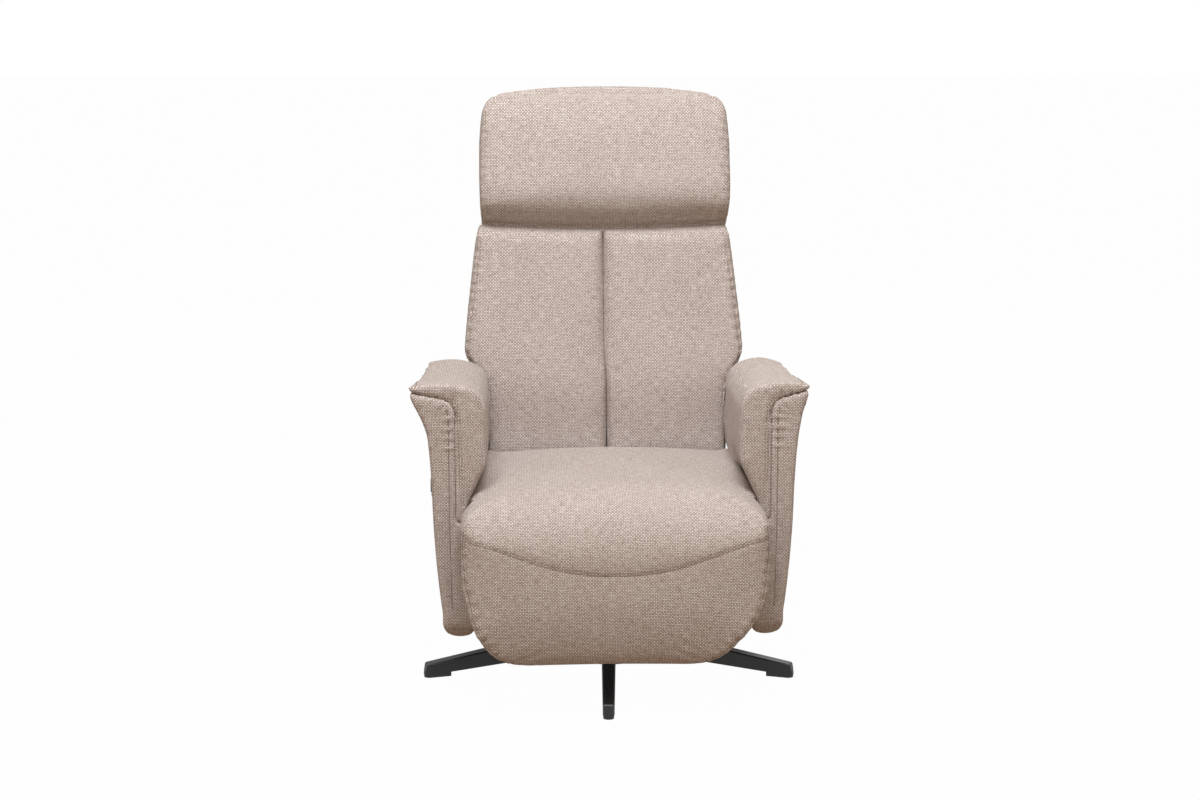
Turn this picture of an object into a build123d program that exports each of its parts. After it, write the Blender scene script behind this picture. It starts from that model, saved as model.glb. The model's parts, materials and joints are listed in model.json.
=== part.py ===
from build123d import *
import math
import os

# Power swivel recliner on a five-blade base. Millimetres, Z up, the sitter faces -Y.
# The origin is on the floor, on the swivel axis.

# Overall sizes
overall_height = 1100.0
seat_between_arms_half = 233.0
arm_width = 129.0
nose_reach = 400.0
base_reach = 375.0
base_turn = -2.0
touch_gap = 0.3
soft_gap = 3.0
running_gap = 0.05
overrun = 40.0

# Seat and footrest sizes
seat_top = 420.0
seat_wing = 52.0
seat_bottom = 340.0
nose_radius = 118.0
front_bottom = 98.0
arm_front_inset = 138.0
nose_to_hinge = 55.0
top_to_hinge = 55.0
footrest_pad_depth = 40.0
footrest_board_inset = 16.0
footrest_swing = 85.0

# Backrest sizes, in its own upright frame: u is depth, v is height above the recline axis
recline_axis_y = 140.0
recline_axis_z = 320.0
back_lean = 16.0
recline_swing = 35.0
cushion_front_depth = 86.0
cushion_crown = 9.0
frame_depth = 26.0
rear_depth = 40.0
cushion_bottom_v = 20.0
rear_cover_bottom_v = 48.0
head_height = 280.2
head_axis_depth = 58.0
head_wing = 13.5
shoulder_wing = 43.0
head_rear_depth = 52.0
head_crest_depth = 60.0

# Steel frame sizes
rail_inset = 8.0
rail_width = 25.0
rail_height = 40.0
rail_clearance = 4.0
rail_front_inset = 75.0
rail_rear_reach = 160.0
pin_radius = 6.0
hinge_plate = 6.0
eye_radius = 10.0

# Places worked out from the sizes above
lean = math.radians(back_lean)
arm_half_width = seat_between_arms_half + arm_width
seat_front_half = seat_between_arms_half + seat_wing
arm_front_reach = nose_reach - arm_front_inset
head_half = seat_between_arms_half + head_wing
shoulder_half = seat_between_arms_half + shoulder_wing
head_crest_z = overall_height - head_crest_depth * math.sin(lean)
head_top_v = (head_crest_z - recline_axis_z) / math.cos(lean)
head_seam_v = head_top_v - head_height
rail_outer = seat_between_arms_half - rail_inset
rail_front_reach = nose_reach - rail_front_inset
footrest_axis_y = nose_to_hinge - nose_reach
footrest_axis_z = seat_top - top_to_hinge
nose_centre_y = nose_radius - nose_reach
nose_centre_z = seat_top - nose_radius
board_front_y = footrest_pad_depth - nose_reach
rail_top = seat_bottom - rail_clearance
rail_bottom = rail_top - rail_height
rail_inner = rail_outer - rail_width


def block(x_low, x_high, y_low, y_high, z_low, z_high):
    """Box between two corners."""
    middle = Pos((x_low + x_high) / 2, (y_low + y_high) / 2, (z_low + z_high) / 2)
    return middle * Box(x_high - x_low, y_high - y_low, z_high - z_low)


def rod(axis, radius, place, low, high):
    """Round bar along an axis, at a place on the other two."""
    a, b = place
    middle = (low + high) / 2
    spots = {
        "x": Pos(middle, a, b) * Rot(0, 90, 0),
        "y": Pos(a, middle, b) * Rot(90, 0, 0),
        "z": Pos(a, b, middle),
    }
    return spots[axis] * Cylinder(radius, high - low)


def is_arc(step):
    return isinstance(step[0], tuple)


def both_sides(half):
    """Closed outline from its right half, which starts and ends on the centre line."""
    ends = [half[0]] + [step[1] if is_arc(step) else step for step in half[1:]]
    left = []
    for k in range(len(half) - 1, 0, -1):
        target = (-ends[k - 1][0], ends[k - 1][1])
        if is_arc(half[k]):
            middle = half[k][0]
            left.append(((-middle[0], middle[1]), target))
        else:
            left.append(target)
    return half + left


def prism(axis, points, low, high):
    """Outline pushed along an axis. A plain point ends a line, a pair is an arc's middle and end."""
    spread = {
        "x": lambda p: (low, p[0], p[1]),
        "y": lambda p: (p[0], low, p[1]),
        "z": lambda p: (p[0], p[1], low),
    }[axis]
    along = {"x": (1, 0, 0), "y": (0, 1, 0), "z": (0, 0, 1)}[axis]
    edges = []
    here = points[0]
    for step in points[1:]:
        end = step[1] if is_arc(step) else step
        if is_arc(step):
            edges.append(ThreePointArc(spread(here), spread(step[0]), spread(end)))
        else:
            edges.append(Line(spread(here), spread(end)))
        here = end
    if math.dist(here, points[0]) > touch_gap / 1000:
        edges.append(Line(spread(here), spread(points[0])))
    return extrude(Face(Wire(edges)), amount=high - low, dir=along)


def cross_section(points, y):
    """Outline in XZ as a face at one depth, for a loft along Y."""
    edges = []
    here = points[0]
    for step in points[1:] + [points[0]]:
        end = step[1] if is_arc(step) else step
        if is_arc(step):
            middle = (step[0][0], y, step[0][1])
            edges.append(ThreePointArc((here[0], y, here[1]), middle, (end[0], y, end[1])))
        else:
            edges.append(Line((here[0], y, here[1]), (end[0], y, end[1])))
        here = end
    return Face(Wire(edges))


def mirrored(solid):
    """The same piece on the sitter's other side."""
    return mirror(solid, about=Plane.YZ)


def leaned(solid):
    """Piece of the backrest, from its upright frame to its place in the chair."""
    return Pos(0, recline_axis_y, recline_axis_z) * Rot(-back_lean, 0, 0) * solid


nodes = {}


# Five blade legs, bolted under a hub, on flat glides
glide_height = 5.0
glide_length = 52.0
glide_inset = 0.8
leg_tip_height = 22.0
leg_tip_width = 22.0
leg_root_width = 29.0
leg_top_slope = 8.0
leg_under_slope = 4.0
leg_bevel = 2.0
leg_tip_slant = 5.0
leg_count = 5
hub_radius = 46.0
hub_top = 78.0
flange_radius = 95.0
flange_thickness = 6.0
bolt_radius = 4.0
bolt_head_radius = 6.5
bolt_head_height = 5.0
bolt_grip = 16.0
leg_bolt_reaches = (62.0, 84.0)
column_radius = 25.0
column_wall = 4.0
column_top = 180.0


def leg_rise(reach):
    """Height of a leg's underside at a distance from the swivel axis."""
    run = base_reach - max(reach, flange_radius)
    return glide_height + run * math.tan(math.radians(leg_under_slope))


def leg_plan(narrowing, start, end):
    """Outline of a blade seen from above, along +X."""
    tip = leg_tip_width / 2 - narrowing
    root = leg_root_width / 2 - narrowing
    centre = base_reach - leg_tip_width / 2
    side = tip + (root - tip) * (1 - start / centre)
    if end < base_reach:
        return [(start, -side), (end, -tip), (end, tip), (start, side)]
    return [(start, -side), (centre, -tip), ((centre + tip, 0), (centre, tip)), (start, side)]


def leg():
    top = glide_height + leg_tip_height
    top_root = top + base_reach * math.tan(math.radians(leg_top_slope))
    side = [
        (base_reach, glide_height),
        (base_reach - leg_tip_slant, top),
        (0, top_root),
        (0, leg_rise(0)),
        (flange_radius, leg_rise(0)),
    ]
    solid = prism("z", leg_plan(0, 0, base_reach), 0, top_root)
    solid &= prism("y", side, -leg_root_width, leg_root_width)
    solid -= rod("z", hub_radius, (0, 0), 0, top_root + overrun)
    upper = solid.faces().filter_by(lambda f: f.normal_at().Z > 0.9).sort_by(Axis.Z)[-1]
    solid = chamfer(upper.edges(), leg_bevel)
    for reach in leg_bolt_reaches:
        solid -= rod("z", bolt_radius, (reach, 0), 0, leg_rise(0) + bolt_grip)
    return solid


def glide():
    start = base_reach - glide_length
    side = [(start, 0), (base_reach, 0), (base_reach, leg_rise(base_reach)), (start, leg_rise(start))]
    solid = prism("z", leg_plan(glide_inset, start, base_reach), 0, leg_rise(start))
    return solid & prism("y", side, -leg_root_width, leg_root_width)


def base_place(k):
    return Rot(0, 0, base_turn - 90 + k * 360 / leg_count)


def leg_bolt(reach):
    head_low = leg_rise(0) - flange_thickness - bolt_head_height
    head = rod("z", bolt_head_radius, (reach, 0), head_low, head_low + bolt_head_height)
    shank = rod("z", bolt_radius, (reach, 0), head_low, leg_rise(0) + bolt_grip)
    return head + shank


for k in range(leg_count):
    nodes[f"base_leg_{k + 1}"] = base_place(k) * leg()
nodes["base_glides"] = [base_place(k) * glide() for k in range(leg_count)]
nodes["leg_bolts"] = [base_place(k) * leg_bolt(r) for k in range(leg_count) for r in leg_bolt_reaches]

hub = rod("z", hub_radius, (0, 0), leg_rise(0), hub_top)
hub += rod("z", flange_radius, (0, 0), leg_rise(0) - flange_thickness, leg_rise(0))
hub -= rod("z", column_radius, (0, 0), 0, hub_top + overrun)
for k in range(leg_count):
    for reach in leg_bolt_reaches:
        hub -= base_place(k) * rod("z", bolt_radius, (reach, 0), 0, leg_rise(0))
nodes["base_hub"] = hub

# Swivel: a column in the hub, and a bushed housing that turns on it under the seat
column_low = leg_rise(0) - flange_thickness
bush_wall = 4.0
housing_wall = 7.0
thrust_height = 4.0
swivel_plate_thickness = 8.0
swivel_plate_inset = 94.0
swivel_plate_half_depth = 95.0
swivel_bolt_inset = 13.0
swivel_plate_half = rail_inner - swivel_plate_inset
swivel_bolt_x = swivel_plate_half - swivel_bolt_inset
cradle_y = 70.0
cradle_width = 40.0
cradle_thickness = 8.0
housing_top = column_top + swivel_plate_thickness

column = rod("z", column_radius, (0, 0), column_low, column_top)
nodes["swivel_column"] = column - rod("z", column_radius - column_wall, (0, 0), 0, column_top + overrun)
thrust = rod("z", hub_radius - column_wall, (0, 0), hub_top, hub_top + thrust_height)
thrust -= rod("z", column_radius + touch_gap, (0, 0), 0, hub_top + overrun)
nodes["thrust_washer"] = thrust

bush_low = hub_top + thrust_height + touch_gap
bush_inner = column_radius + running_gap
bush_outer = bush_inner + bush_wall
housing = rod("z", bush_outer + housing_wall, (0, 0), bush_low, housing_top)
housing += block(
    -swivel_plate_half,
    swivel_plate_half,
    -swivel_plate_half_depth,
    swivel_plate_half_depth,
    housing_top,
    housing_top + swivel_plate_thickness,
)
housing -= rod("z", bush_outer, (0, 0), 0, housing_top)
swivel_bolt_places = [(x, y) for x in (-swivel_bolt_x, swivel_bolt_x) for y in (-cradle_y, cradle_y)]
cradle_low = housing_top + swivel_plate_thickness
cradle_top = cradle_low + cradle_thickness
for place in swivel_bolt_places:
    housing -= rod("z", bolt_radius, place, 0, cradle_low + overrun)
nodes["swivel_housing"] = housing
bush = rod("z", bush_outer, (0, 0), bush_low, column_top)
nodes["swivel_bush"] = bush - rod("z", bush_inner, (0, 0), 0, column_top + overrun)

# Two cradle bars carry the side rails on the swivel plate, each with an upright strap at either end


def cradle(y):
    low_y, high_y = y - cradle_width / 2, y + cradle_width / 2
    bar = block(-rail_outer, rail_outer, low_y, high_y, cradle_low, cradle_top)
    for x in (-swivel_bolt_x, swivel_bolt_x):
        bar -= rod("z", bolt_radius, (x, y), 0, cradle_top + overrun)
    strap = block(rail_outer - cradle_thickness, rail_outer, low_y, high_y, cradle_top, rail_bottom)
    return [bar, strap, mirrored(strap)]


def swivel_bolt(place):
    head = rod("z", bolt_head_radius, place, housing_top - bolt_head_height, housing_top)
    shank = rod("z", bolt_radius, place, housing_top, cradle_top + bolt_head_height)
    return head + shank


nodes["cradle_bars"] = cradle(-cradle_y) + cradle(cradle_y)
nodes["swivel_bolts"] = [swivel_bolt(place) for place in swivel_bolt_places]

# Side rails and cross tubes
cross_tube_height = 16.0
cross_tube_width = 30.0
front_tube_inset = 80.0
front_tube_y = front_tube_inset - rail_front_reach
rear_tube_y = 75.0


def rail():
    bar = block(rail_inner, rail_outer, -rail_front_reach, rail_rear_reach, rail_bottom, rail_top)
    return bar - rod("x", pin_radius, (recline_axis_y, recline_axis_z), 0, arm_half_width)


nodes["side_rails"] = [rail(), mirrored(rail())]
nodes["cross_tubes"] = [
    block(
        -rail_inner,
        rail_inner,
        y - cross_tube_width / 2,
        y + cross_tube_width / 2,
        rail_top - cross_tube_height,
        rail_top,
    )
    for y in (front_tube_y, rear_tube_y)
]

# Zigzag seat springs, hooked over the two cross tubes
wire_radius = 1.75
spring_pitch = 28.0
spring_amplitude = 22.0
spring_bend_radius = 9.0
seat_spring_shares = (-0.75, -0.25, 0.25, 0.75)


def zigzag(length, reach):
    """Zigzag wire along +X from the origin, flat in XY."""
    turns = int(length // spring_pitch)
    step = length / turns
    points = [(0, 0), (step / 4, 0)]
    for k in range(turns):
        side = reach if k % 2 else -reach
        points.append((step * (k + 1 / 4), side))
        points.append((step * (k + 3 / 4), side))
    points += [(length - step / 4, 0), (length, 0)]
    path = FilletPolyline(*points, radius=spring_bend_radius / 2)
    section = Plane(origin=path @ 0, z_dir=path % 0) * Circle(wire_radius)
    return sweep(section, path=path)


spring_z = rail_top + wire_radius
spring_length = rear_tube_y - front_tube_y
nodes["seat_springs"] = [
    Pos(rail_inner * share, front_tube_y, spring_z)
    * Rot(0, 0, 90)
    * zigzag(spring_length, spring_amplitude / 2)
    for share in seat_spring_shares
]

# Seat front: one upholstered block, split at the hinge into seat, fold and footrest
front_top_half_share = 0.75
front_corner_half_share = 0.92
seat_round = 16.0
shoulder_drop = 12.0
corner_drop = 30.0
side_top_drop = 58.0
waist_drop = 110.0
side_low_rise = 107.0
low_side_inset = 17.0
low_bulge_inset = 38.0
low_bulge_rise = 62.0
foot_corner_inset = 68.0
foot_corner_rise = 24.0
foot_round_inset = 98.0
foot_round_rise = 9.0
foot_flat_inset = 145.0
foot_flat_rise = 3.5
side_low_z = front_bottom + side_low_rise
waist_z = seat_top - waist_drop
low_side_half = seat_front_half - low_side_inset
low_bulge = (seat_front_half - low_bulge_inset, front_bottom + low_bulge_rise)
foot_corner = (seat_front_half - foot_corner_inset, front_bottom + foot_corner_rise)
foot_round = (seat_front_half - foot_round_inset, front_bottom + foot_round_rise)
foot_flat_half = seat_front_half - foot_flat_inset

front_outline = both_sides(
    [
        (0, seat_top),
        (
            (seat_front_half * front_top_half_share / 2, seat_top - shoulder_drop / 4),
            (seat_front_half * front_top_half_share, seat_top - shoulder_drop),
        ),
        (
            (seat_front_half * front_corner_half_share, seat_top - corner_drop),
            (seat_front_half - foot_flat_rise, seat_top - side_top_drop),
        ),
        ((seat_front_half, waist_z), (low_side_half, side_low_z)),
        (low_bulge, foot_corner),
        (foot_round, (foot_flat_half, front_bottom + foot_flat_rise)),
        ((foot_flat_half / 2, front_bottom + foot_flat_rise / 4), (0, front_bottom)),
    ]
)

# Side view of the same block: flat top, round nose, gently bowed front, rounded lower edge
lower_front_inset = 15.0
lower_front_rise = 26.0
front_bow_inset = 2.5
front_bow_rise = 102.0
lower_edge_inset = 30.0
lower_edge_rise = 5.0
diagonal = math.sqrt(0.5)
side_outline = [
    (overrun, seat_top),
    (nose_centre_y, seat_top),
    (
        (nose_centre_y - nose_radius * diagonal, nose_centre_z + nose_radius * diagonal),
        (-nose_reach, nose_centre_z),
    ),
    (
        (front_bow_inset - nose_reach, front_bottom + front_bow_rise),
        (lower_front_inset - nose_reach, front_bottom + lower_front_rise),
    ),
    ((lower_edge_inset - nose_reach, front_bottom + lower_edge_rise), (footrest_axis_y, front_bottom)),
    (footrest_axis_y, 0),
    (overrun, 0),
]

# Plan view: the front's two rounded corners
plan_corner = 42.0
plan_bow = 7.0
wing_rear_y = -arm_front_reach - soft_gap
plan_outline = both_sides(
    [
        (0, -nose_reach),
        (
            ((seat_front_half - plan_corner) / 2, plan_bow / 4 - nose_reach),
            (seat_front_half - plan_corner, plan_bow - nose_reach),
        ),
        (
            (seat_front_half - plan_corner * (1 - diagonal), plan_bow + plan_corner * 0.3 - nose_reach),
            (seat_front_half, plan_corner + plan_bow - nose_reach),
        ),
        (seat_front_half, wing_rear_y),
        (0, wing_rear_y),
    ]
)
front_block = prism("y", front_outline, -nose_reach - overrun, wing_rear_y)
front_block &= prism("x", side_outline, -seat_front_half - overrun, seat_front_half + overrun)
front_block &= prism("z", plan_outline, 0, seat_top + overrun)

# Relief around each footrest hinge, so that foam never meets steel
hinge_relief = 14.0
bracket_inset = 17.0
hinge_side_gap = 2.0
bracket_inner = rail_outer - bracket_inset
footrest_arm_inner = bracket_inner + hinge_plate + hinge_side_gap
relief_low = bracket_inner - soft_gap
relief_high = footrest_arm_inner + hinge_plate + soft_gap


def hinge_reliefs():
    one = rod("x", hinge_relief, (footrest_axis_y, footrest_axis_z), relief_low, relief_high)
    one += block(
        relief_low,
        relief_high,
        footrest_axis_y - overrun,
        wing_rear_y - overrun,
        seat_bottom - overrun,
        footrest_axis_z + hinge_relief,
    ) & block(
        relief_low,
        relief_high,
        footrest_axis_y - touch_gap,
        0,
        0,
        seat_top,
    )
    return [one, mirrored(one)]


def within(solid, y_low, y_high, z_low, z_high):
    """The part of a solid between two depths and two heights."""
    return solid & block(-arm_half_width, arm_half_width, y_low, y_high, z_low, z_high)


seat_cushion = within(
    front_block, footrest_axis_y + touch_gap, wing_rear_y, seat_bottom, seat_top
)


def back_front_y(z):
    """Depth of the back cushions' front face at a height, with the seat's gap before it."""
    depth = cushion_front_depth + cushion_crown
    v = (z - recline_axis_z - depth * math.sin(lean)) / math.cos(lean)
    return recline_axis_y - depth * math.cos(lean) + v * math.sin(lean) - soft_gap


arm_pad_rise = 5.0
arm_pad_bottom = seat_bottom + arm_pad_rise
cushion_side_drop = 34.0
cushion_wing = 24.0
cushion_low_inset = 4.0
cushion_flat_inset = 53.0
cushion_side_z = seat_top - cushion_side_drop
cushion_wing_half = seat_between_arms_half + cushion_wing
cushion_low_half = seat_between_arms_half - cushion_low_inset
cushion_flat_half = seat_between_arms_half - cushion_flat_inset
cushion_rear_round = 16.0
cushion_rear_drop = 8.0
cushion_outline = both_sides(
    [
        (0, seat_top),
        (
            (cushion_flat_half / 2, seat_top - cushion_rear_drop / 4),
            (cushion_flat_half, seat_top - cushion_rear_drop),
        ),
        ((cushion_low_half, seat_top - seat_round), (cushion_wing_half, cushion_side_z)),
        (cushion_wing_half, arm_pad_bottom + soft_gap),
        (cushion_low_half, arm_pad_bottom + soft_gap),
        (cushion_low_half, seat_bottom),
        (0, seat_bottom),
    ]
)
cushion_side = [
    (wing_rear_y - seat_round, seat_bottom),
    (wing_rear_y - seat_round, seat_top),
    (-seat_round, seat_top),
    (
        (back_front_y(seat_top) - cushion_rear_round, seat_top - cushion_rear_drop / 2),
        (back_front_y(cushion_side_z), cushion_side_z),
    ),
    (back_front_y(seat_bottom), seat_bottom),
]
rear_cushion = prism("y", cushion_outline, wing_rear_y - seat_round, recline_axis_y)
rear_cushion &= prism("x", cushion_side, -arm_half_width, arm_half_width)
seat_cushion += rear_cushion
fold = within(
    front_block,
    -nose_reach - overrun,
    footrest_axis_y - touch_gap,
    footrest_axis_z + touch_gap,
    seat_top,
)
for relief in hinge_reliefs():
    seat_cushion -= relief
    fold -= relief
nodes["seat_cushion"] = seat_cushion
nodes["seat_fold"] = fold

# Footrest: a padded board on two steel arms, turning on pins in the seat's brackets
footrest_top = footrest_axis_z - touch_gap
footrest_pad = within(front_block, -nose_reach - overrun, board_front_y, 0, footrest_top)
nodes["footrest_pad"] = footrest_pad
board_top = footrest_axis_z - footrest_board_inset
board_half = seat_front_half - footrest_board_inset
board_low_half = foot_flat_half + footrest_board_inset
board_bottom = foot_corner[1]
board_outline = both_sides(
    [
        (0, board_top),
        (board_half, board_top),
        (board_half, waist_z),
        ((low_side_half - footrest_board_inset, side_low_z), (foot_corner[0], low_bulge[1])),
        (board_low_half, board_bottom),
        (0, board_bottom),
    ]
)
nodes["footrest_board"] = prism("y", board_outline, board_front_y, footrest_axis_y)

footrest_arm_depth = 15.0
footrest_arm_low = 200.0
footrest_pin_radius = 5.0
bracket_drop = 38.0
bracket_throat = 5.0


def footrest_arm():
    low, high = footrest_arm_inner, footrest_arm_inner + hinge_plate
    rear = footrest_axis_y + footrest_arm_depth
    plate = block(low, high, footrest_axis_y, rear, footrest_arm_low, footrest_axis_z)
    plate += rod("x", eye_radius, (footrest_axis_y, footrest_axis_z), low, high)
    bore_radius = footrest_pin_radius + running_gap
    bore = rod("x", bore_radius, (footrest_axis_y, footrest_axis_z), 0, arm_half_width)
    return plate - bore


def footrest_bracket():
    low, high = bracket_inner, bracket_inner + hinge_plate
    plate = prism(
        "x",
        [
            (-rail_front_reach, rail_bottom),
            (-rail_front_reach, rail_top),
            (footrest_axis_y + eye_radius, footrest_axis_z),
            (footrest_axis_y, footrest_axis_z - eye_radius),
            (footrest_axis_y + touch_gap, footrest_axis_z - bracket_drop),
            (bracket_throat - rail_front_reach - eye_radius, rail_bottom),
        ],
        low,
        high,
    )
    plate += rod("x", eye_radius, (footrest_axis_y, footrest_axis_z), low, high)
    return plate - rod("x", footrest_pin_radius, (footrest_axis_y, footrest_axis_z), 0, arm_half_width)


# Footrest crank: its slot takes the actuator rod's pin, with room for the pin's straight path
footrest_rod_x = 70.0
footrest_rod_drop = 65.0
rod_radius = 10.0
rod_pin_radius = 5.0
slot_spare = 5.0
slot_wall = 8.0
crank_thickness = 6.0
crank_root_low = 262.0
crank_root_high = 334.0
swing_half = math.radians(footrest_swing / 2)
footrest_stroke = 2 * footrest_rod_drop * math.tan(swing_half)
rod_pin_y = footrest_axis_y + footrest_stroke / 2
rod_pin_z = footrest_axis_z - footrest_rod_drop


def from_axis(axis_y, axis_z, angle, reach, offset):
    """Point along a lever that hangs from an axis, swung back by an angle, and beside its line."""
    y = axis_y + reach * math.sin(angle) + offset * math.cos(angle)
    z = axis_z - reach * math.cos(angle) + offset * math.sin(angle)
    return (y, z)


def slotted_lever(axis_y, axis_z, angle, near, far, half, root, low, high):
    """Lever plate with a slot from near to far along its line, and a root outline."""
    outer = half + slot_wall
    corners = [(near, -outer), (near, outer), (far + slot_wall, outer), (far + slot_wall, -outer)]
    plate = prism("x", [from_axis(axis_y, axis_z, angle, r, o) for r, o in corners], low, high)
    plate += prism("x", root, low, high)
    slot = [(near, -half), (near, half), (far, half), (far, -half)]
    return plate - prism("x", [from_axis(axis_y, axis_z, angle, r, o) for r, o in slot], low, high)


def footrest_crank():
    near = footrest_rod_drop - rod_pin_radius - slot_spare
    far = footrest_rod_drop / math.cos(swing_half) + rod_pin_radius + slot_spare
    half = rod_pin_radius + slot_spare
    outer = half + slot_wall
    axis = (footrest_axis_y, footrest_axis_z, swing_half)
    root = [
        (footrest_axis_y, crank_root_low),
        (footrest_axis_y, crank_root_high),
        from_axis(*axis, near, outer),
        from_axis(*axis, near, -half),
        from_axis(*axis, far, -half),
        from_axis(*axis, far + slot_wall, -outer),
    ]
    low = footrest_rod_x - crank_thickness / 2
    return slotted_lever(*axis, near, far, half, root, low, low + crank_thickness)


fork_wall = 5.0
fork_gap = 1.0
fork_throat = 36.0
tube_radius = 16.0
tube_gap = 5.0
rod_engaged = 50.0
bore_end = 3.0
motor_radius = 18.0
motor_gap = 1.0
motor_length = 90.0
gearbox_length = 40.0
gearbox_half_height = 22.0
gearbox_spare = 4.0
fork_back = fork_throat + rod_radius


def rod_end(x, pin_y, pin_z, away, reach):
    """Rod with a fork and a pin. It runs from its pin towards +Y or -Y, as away says."""
    cheek = fork_wall + crank_thickness / 2 + fork_gap
    inner = crank_thickness / 2 + fork_gap
    front, throat, back = -rod_radius * away, fork_throat * away, (fork_throat + rod_radius) * away

    def span(x_low, x_high, start, end):
        y_low, y_high = sorted((pin_y + start, pin_y + end))
        return block(x + x_low, x + x_high, y_low, y_high, pin_z - rod_radius, pin_z + rod_radius)

    solid = span(-cheek, cheek, front, back) - span(-inner, inner, front, throat)
    y_low, y_high = sorted((pin_y + back, pin_y + reach * away))
    solid += rod("y", rod_radius, (x, pin_z), y_low, y_high)
    return solid + rod("x", rod_pin_radius, (pin_y, pin_z), x - cheek, x + cheek)



nodes["footrest_arms"] = [footrest_arm(), mirrored(footrest_arm())]
nodes["footrest_brackets"] = [footrest_bracket(), mirrored(footrest_bracket())]
nodes["footrest_crank"] = footrest_crank()

# Linear actuators: a rod in a tube, a gearbox, and a motor beside the tube


def actuator(x, z, mouth, inward, stroke, motor_side):
    """Tube, gearbox and motor. The tube's mouth is at one end and the rest lies inward from it."""
    depth = stroke + rod_engaged + bore_end
    tube_end = mouth + inward * (depth + bore_end)
    low, high = sorted((mouth, tube_end))
    tube = rod("y", tube_radius, (x, z), low, high)
    bore_low, bore_high = sorted((mouth - inward * overrun, mouth + inward * depth))
    tube -= rod("y", rod_radius + running_gap, (x, z), bore_low, bore_high)
    box_end = tube_end + inward * gearbox_length
    box_low, box_high = sorted((tube_end, box_end))
    motor_x = x + motor_side * (tube_radius + motor_gap + motor_radius)
    edges = sorted((x - motor_side * tube_radius, motor_x + motor_side * motor_radius))
    gearbox = block(*edges, box_low, box_high, z - gearbox_half_height, z + gearbox_half_height)
    upright = gearbox.edges().filter_by(Axis.Y)
    gearbox = fillet(upright, gearbox_spare)
    motor_low, motor_high = sorted((tube_end, tube_end - inward * motor_length))
    motor = rod("y", motor_radius, (motor_x, z), motor_low, motor_high)
    return tube, gearbox, motor, box_end, edges


footrest_mouth = rod_pin_y + fork_back + tube_gap
tube, gearbox, motor, footrest_box_end, footrest_box_edges = actuator(
    footrest_rod_x, rod_pin_z, footrest_mouth, 1, footrest_stroke, -1
)
nodes["footrest_actuator_tube"] = tube
nodes["footrest_gearbox"] = gearbox
nodes["footrest_motor"] = motor
footrest_rod_reach = fork_back + tube_gap + footrest_stroke + rod_engaged
nodes["footrest_rod"] = rod_end(footrest_rod_x, rod_pin_y, rod_pin_z, 1, footrest_rod_reach)

back_rod_x = -70.0
back_rod_drop = 88.0
back_slot_spare = 1.5
recline_half = math.radians(recline_swing / 2)
back_stroke = 2 * back_rod_drop * math.tan(recline_half)
back_pin_y = recline_axis_y + back_stroke / 2
back_pin_z = recline_axis_z - back_rod_drop
back_mouth = back_pin_y - fork_back - back_stroke - tube_gap
tube, gearbox, motor, back_box_end, back_box_edges = actuator(
    back_rod_x, back_pin_z, back_mouth, -1, back_stroke, 1
)
nodes["back_actuator_tube"] = tube
nodes["back_gearbox"] = gearbox
nodes["back_motor"] = motor
nodes["back_rod"] = rod_end(
    back_rod_x, back_pin_y, back_pin_z, -1, fork_back + back_stroke + tube_gap + rod_engaged
)

# Actuator feet, and the pins that the footrest and the backrest turn on
foot_thickness = 6.0
rear_tube_low = rail_top - cross_tube_height
footrest_foot = block(
    *footrest_box_edges,
    footrest_box_end,
    footrest_box_end + foot_thickness,
    rod_pin_z - gearbox_half_height + gearbox_spare,
    rear_tube_low,
)
footrest_foot += block(
    *footrest_box_edges,
    footrest_box_end,
    rear_tube_y + cross_tube_width / 2,
    rear_tube_low - foot_thickness,
    rear_tube_low,
)
nodes["actuator_feet"] = [
    footrest_foot,
    block(
        *back_box_edges,
        -cradle_y - cradle_width / 2,
        back_mouth - back_stroke - rod_engaged - 2 * bore_end - gearbox_spare,
        cradle_top,
        back_pin_z - gearbox_half_height,
    ),
]
upright_gap = 2.0
upright_outer = rail_inner - upright_gap
upright_width = 22.0
upright_inner = upright_outer - upright_width
pin_inset = 2.0
footrest_pin = rod(
    "x",
    footrest_pin_radius,
    (footrest_axis_y, footrest_axis_z),
    bracket_inner - pin_inset,
    footrest_arm_inner + hinge_plate + pin_inset,
)
recline_pin = rod(
    "x", pin_radius, (recline_axis_y, recline_axis_z), upright_inner, rail_outer - pin_inset
)
nodes["hinge_pins"] = [footrest_pin, mirrored(footrest_pin), recline_pin, mirrored(recline_pin)]

# Control box on the cradle bars, with the low-voltage inlet in its rear face
control_gap = 14.0
control_width = 74.0
control_half_depth = 84.0
control_height = 34.0
inlet_radius = 8.0
inlet_length = 22.0
inlet_bore = 3.0
inlet_depth = 14.0
control_right = rail_inner - control_gap
inlet_x = control_right - control_width / 2
inlet_z = cradle_top + control_height / 2
control = block(
    control_right - control_width,
    control_right,
    -control_half_depth,
    control_half_depth,
    cradle_top,
    cradle_top + control_height,
)
nodes["control_box"] = fillet(control.edges().filter_by(Axis.Z), gearbox_spare)
inlet_end = control_half_depth + inlet_length
inlet = rod("y", inlet_radius, (inlet_x, inlet_z), control_half_depth, inlet_end)
nodes["power_inlet"] = inlet - rod("y", inlet_bore, (inlet_x, inlet_z), inlet_end - inlet_depth, inlet_end)

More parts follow.
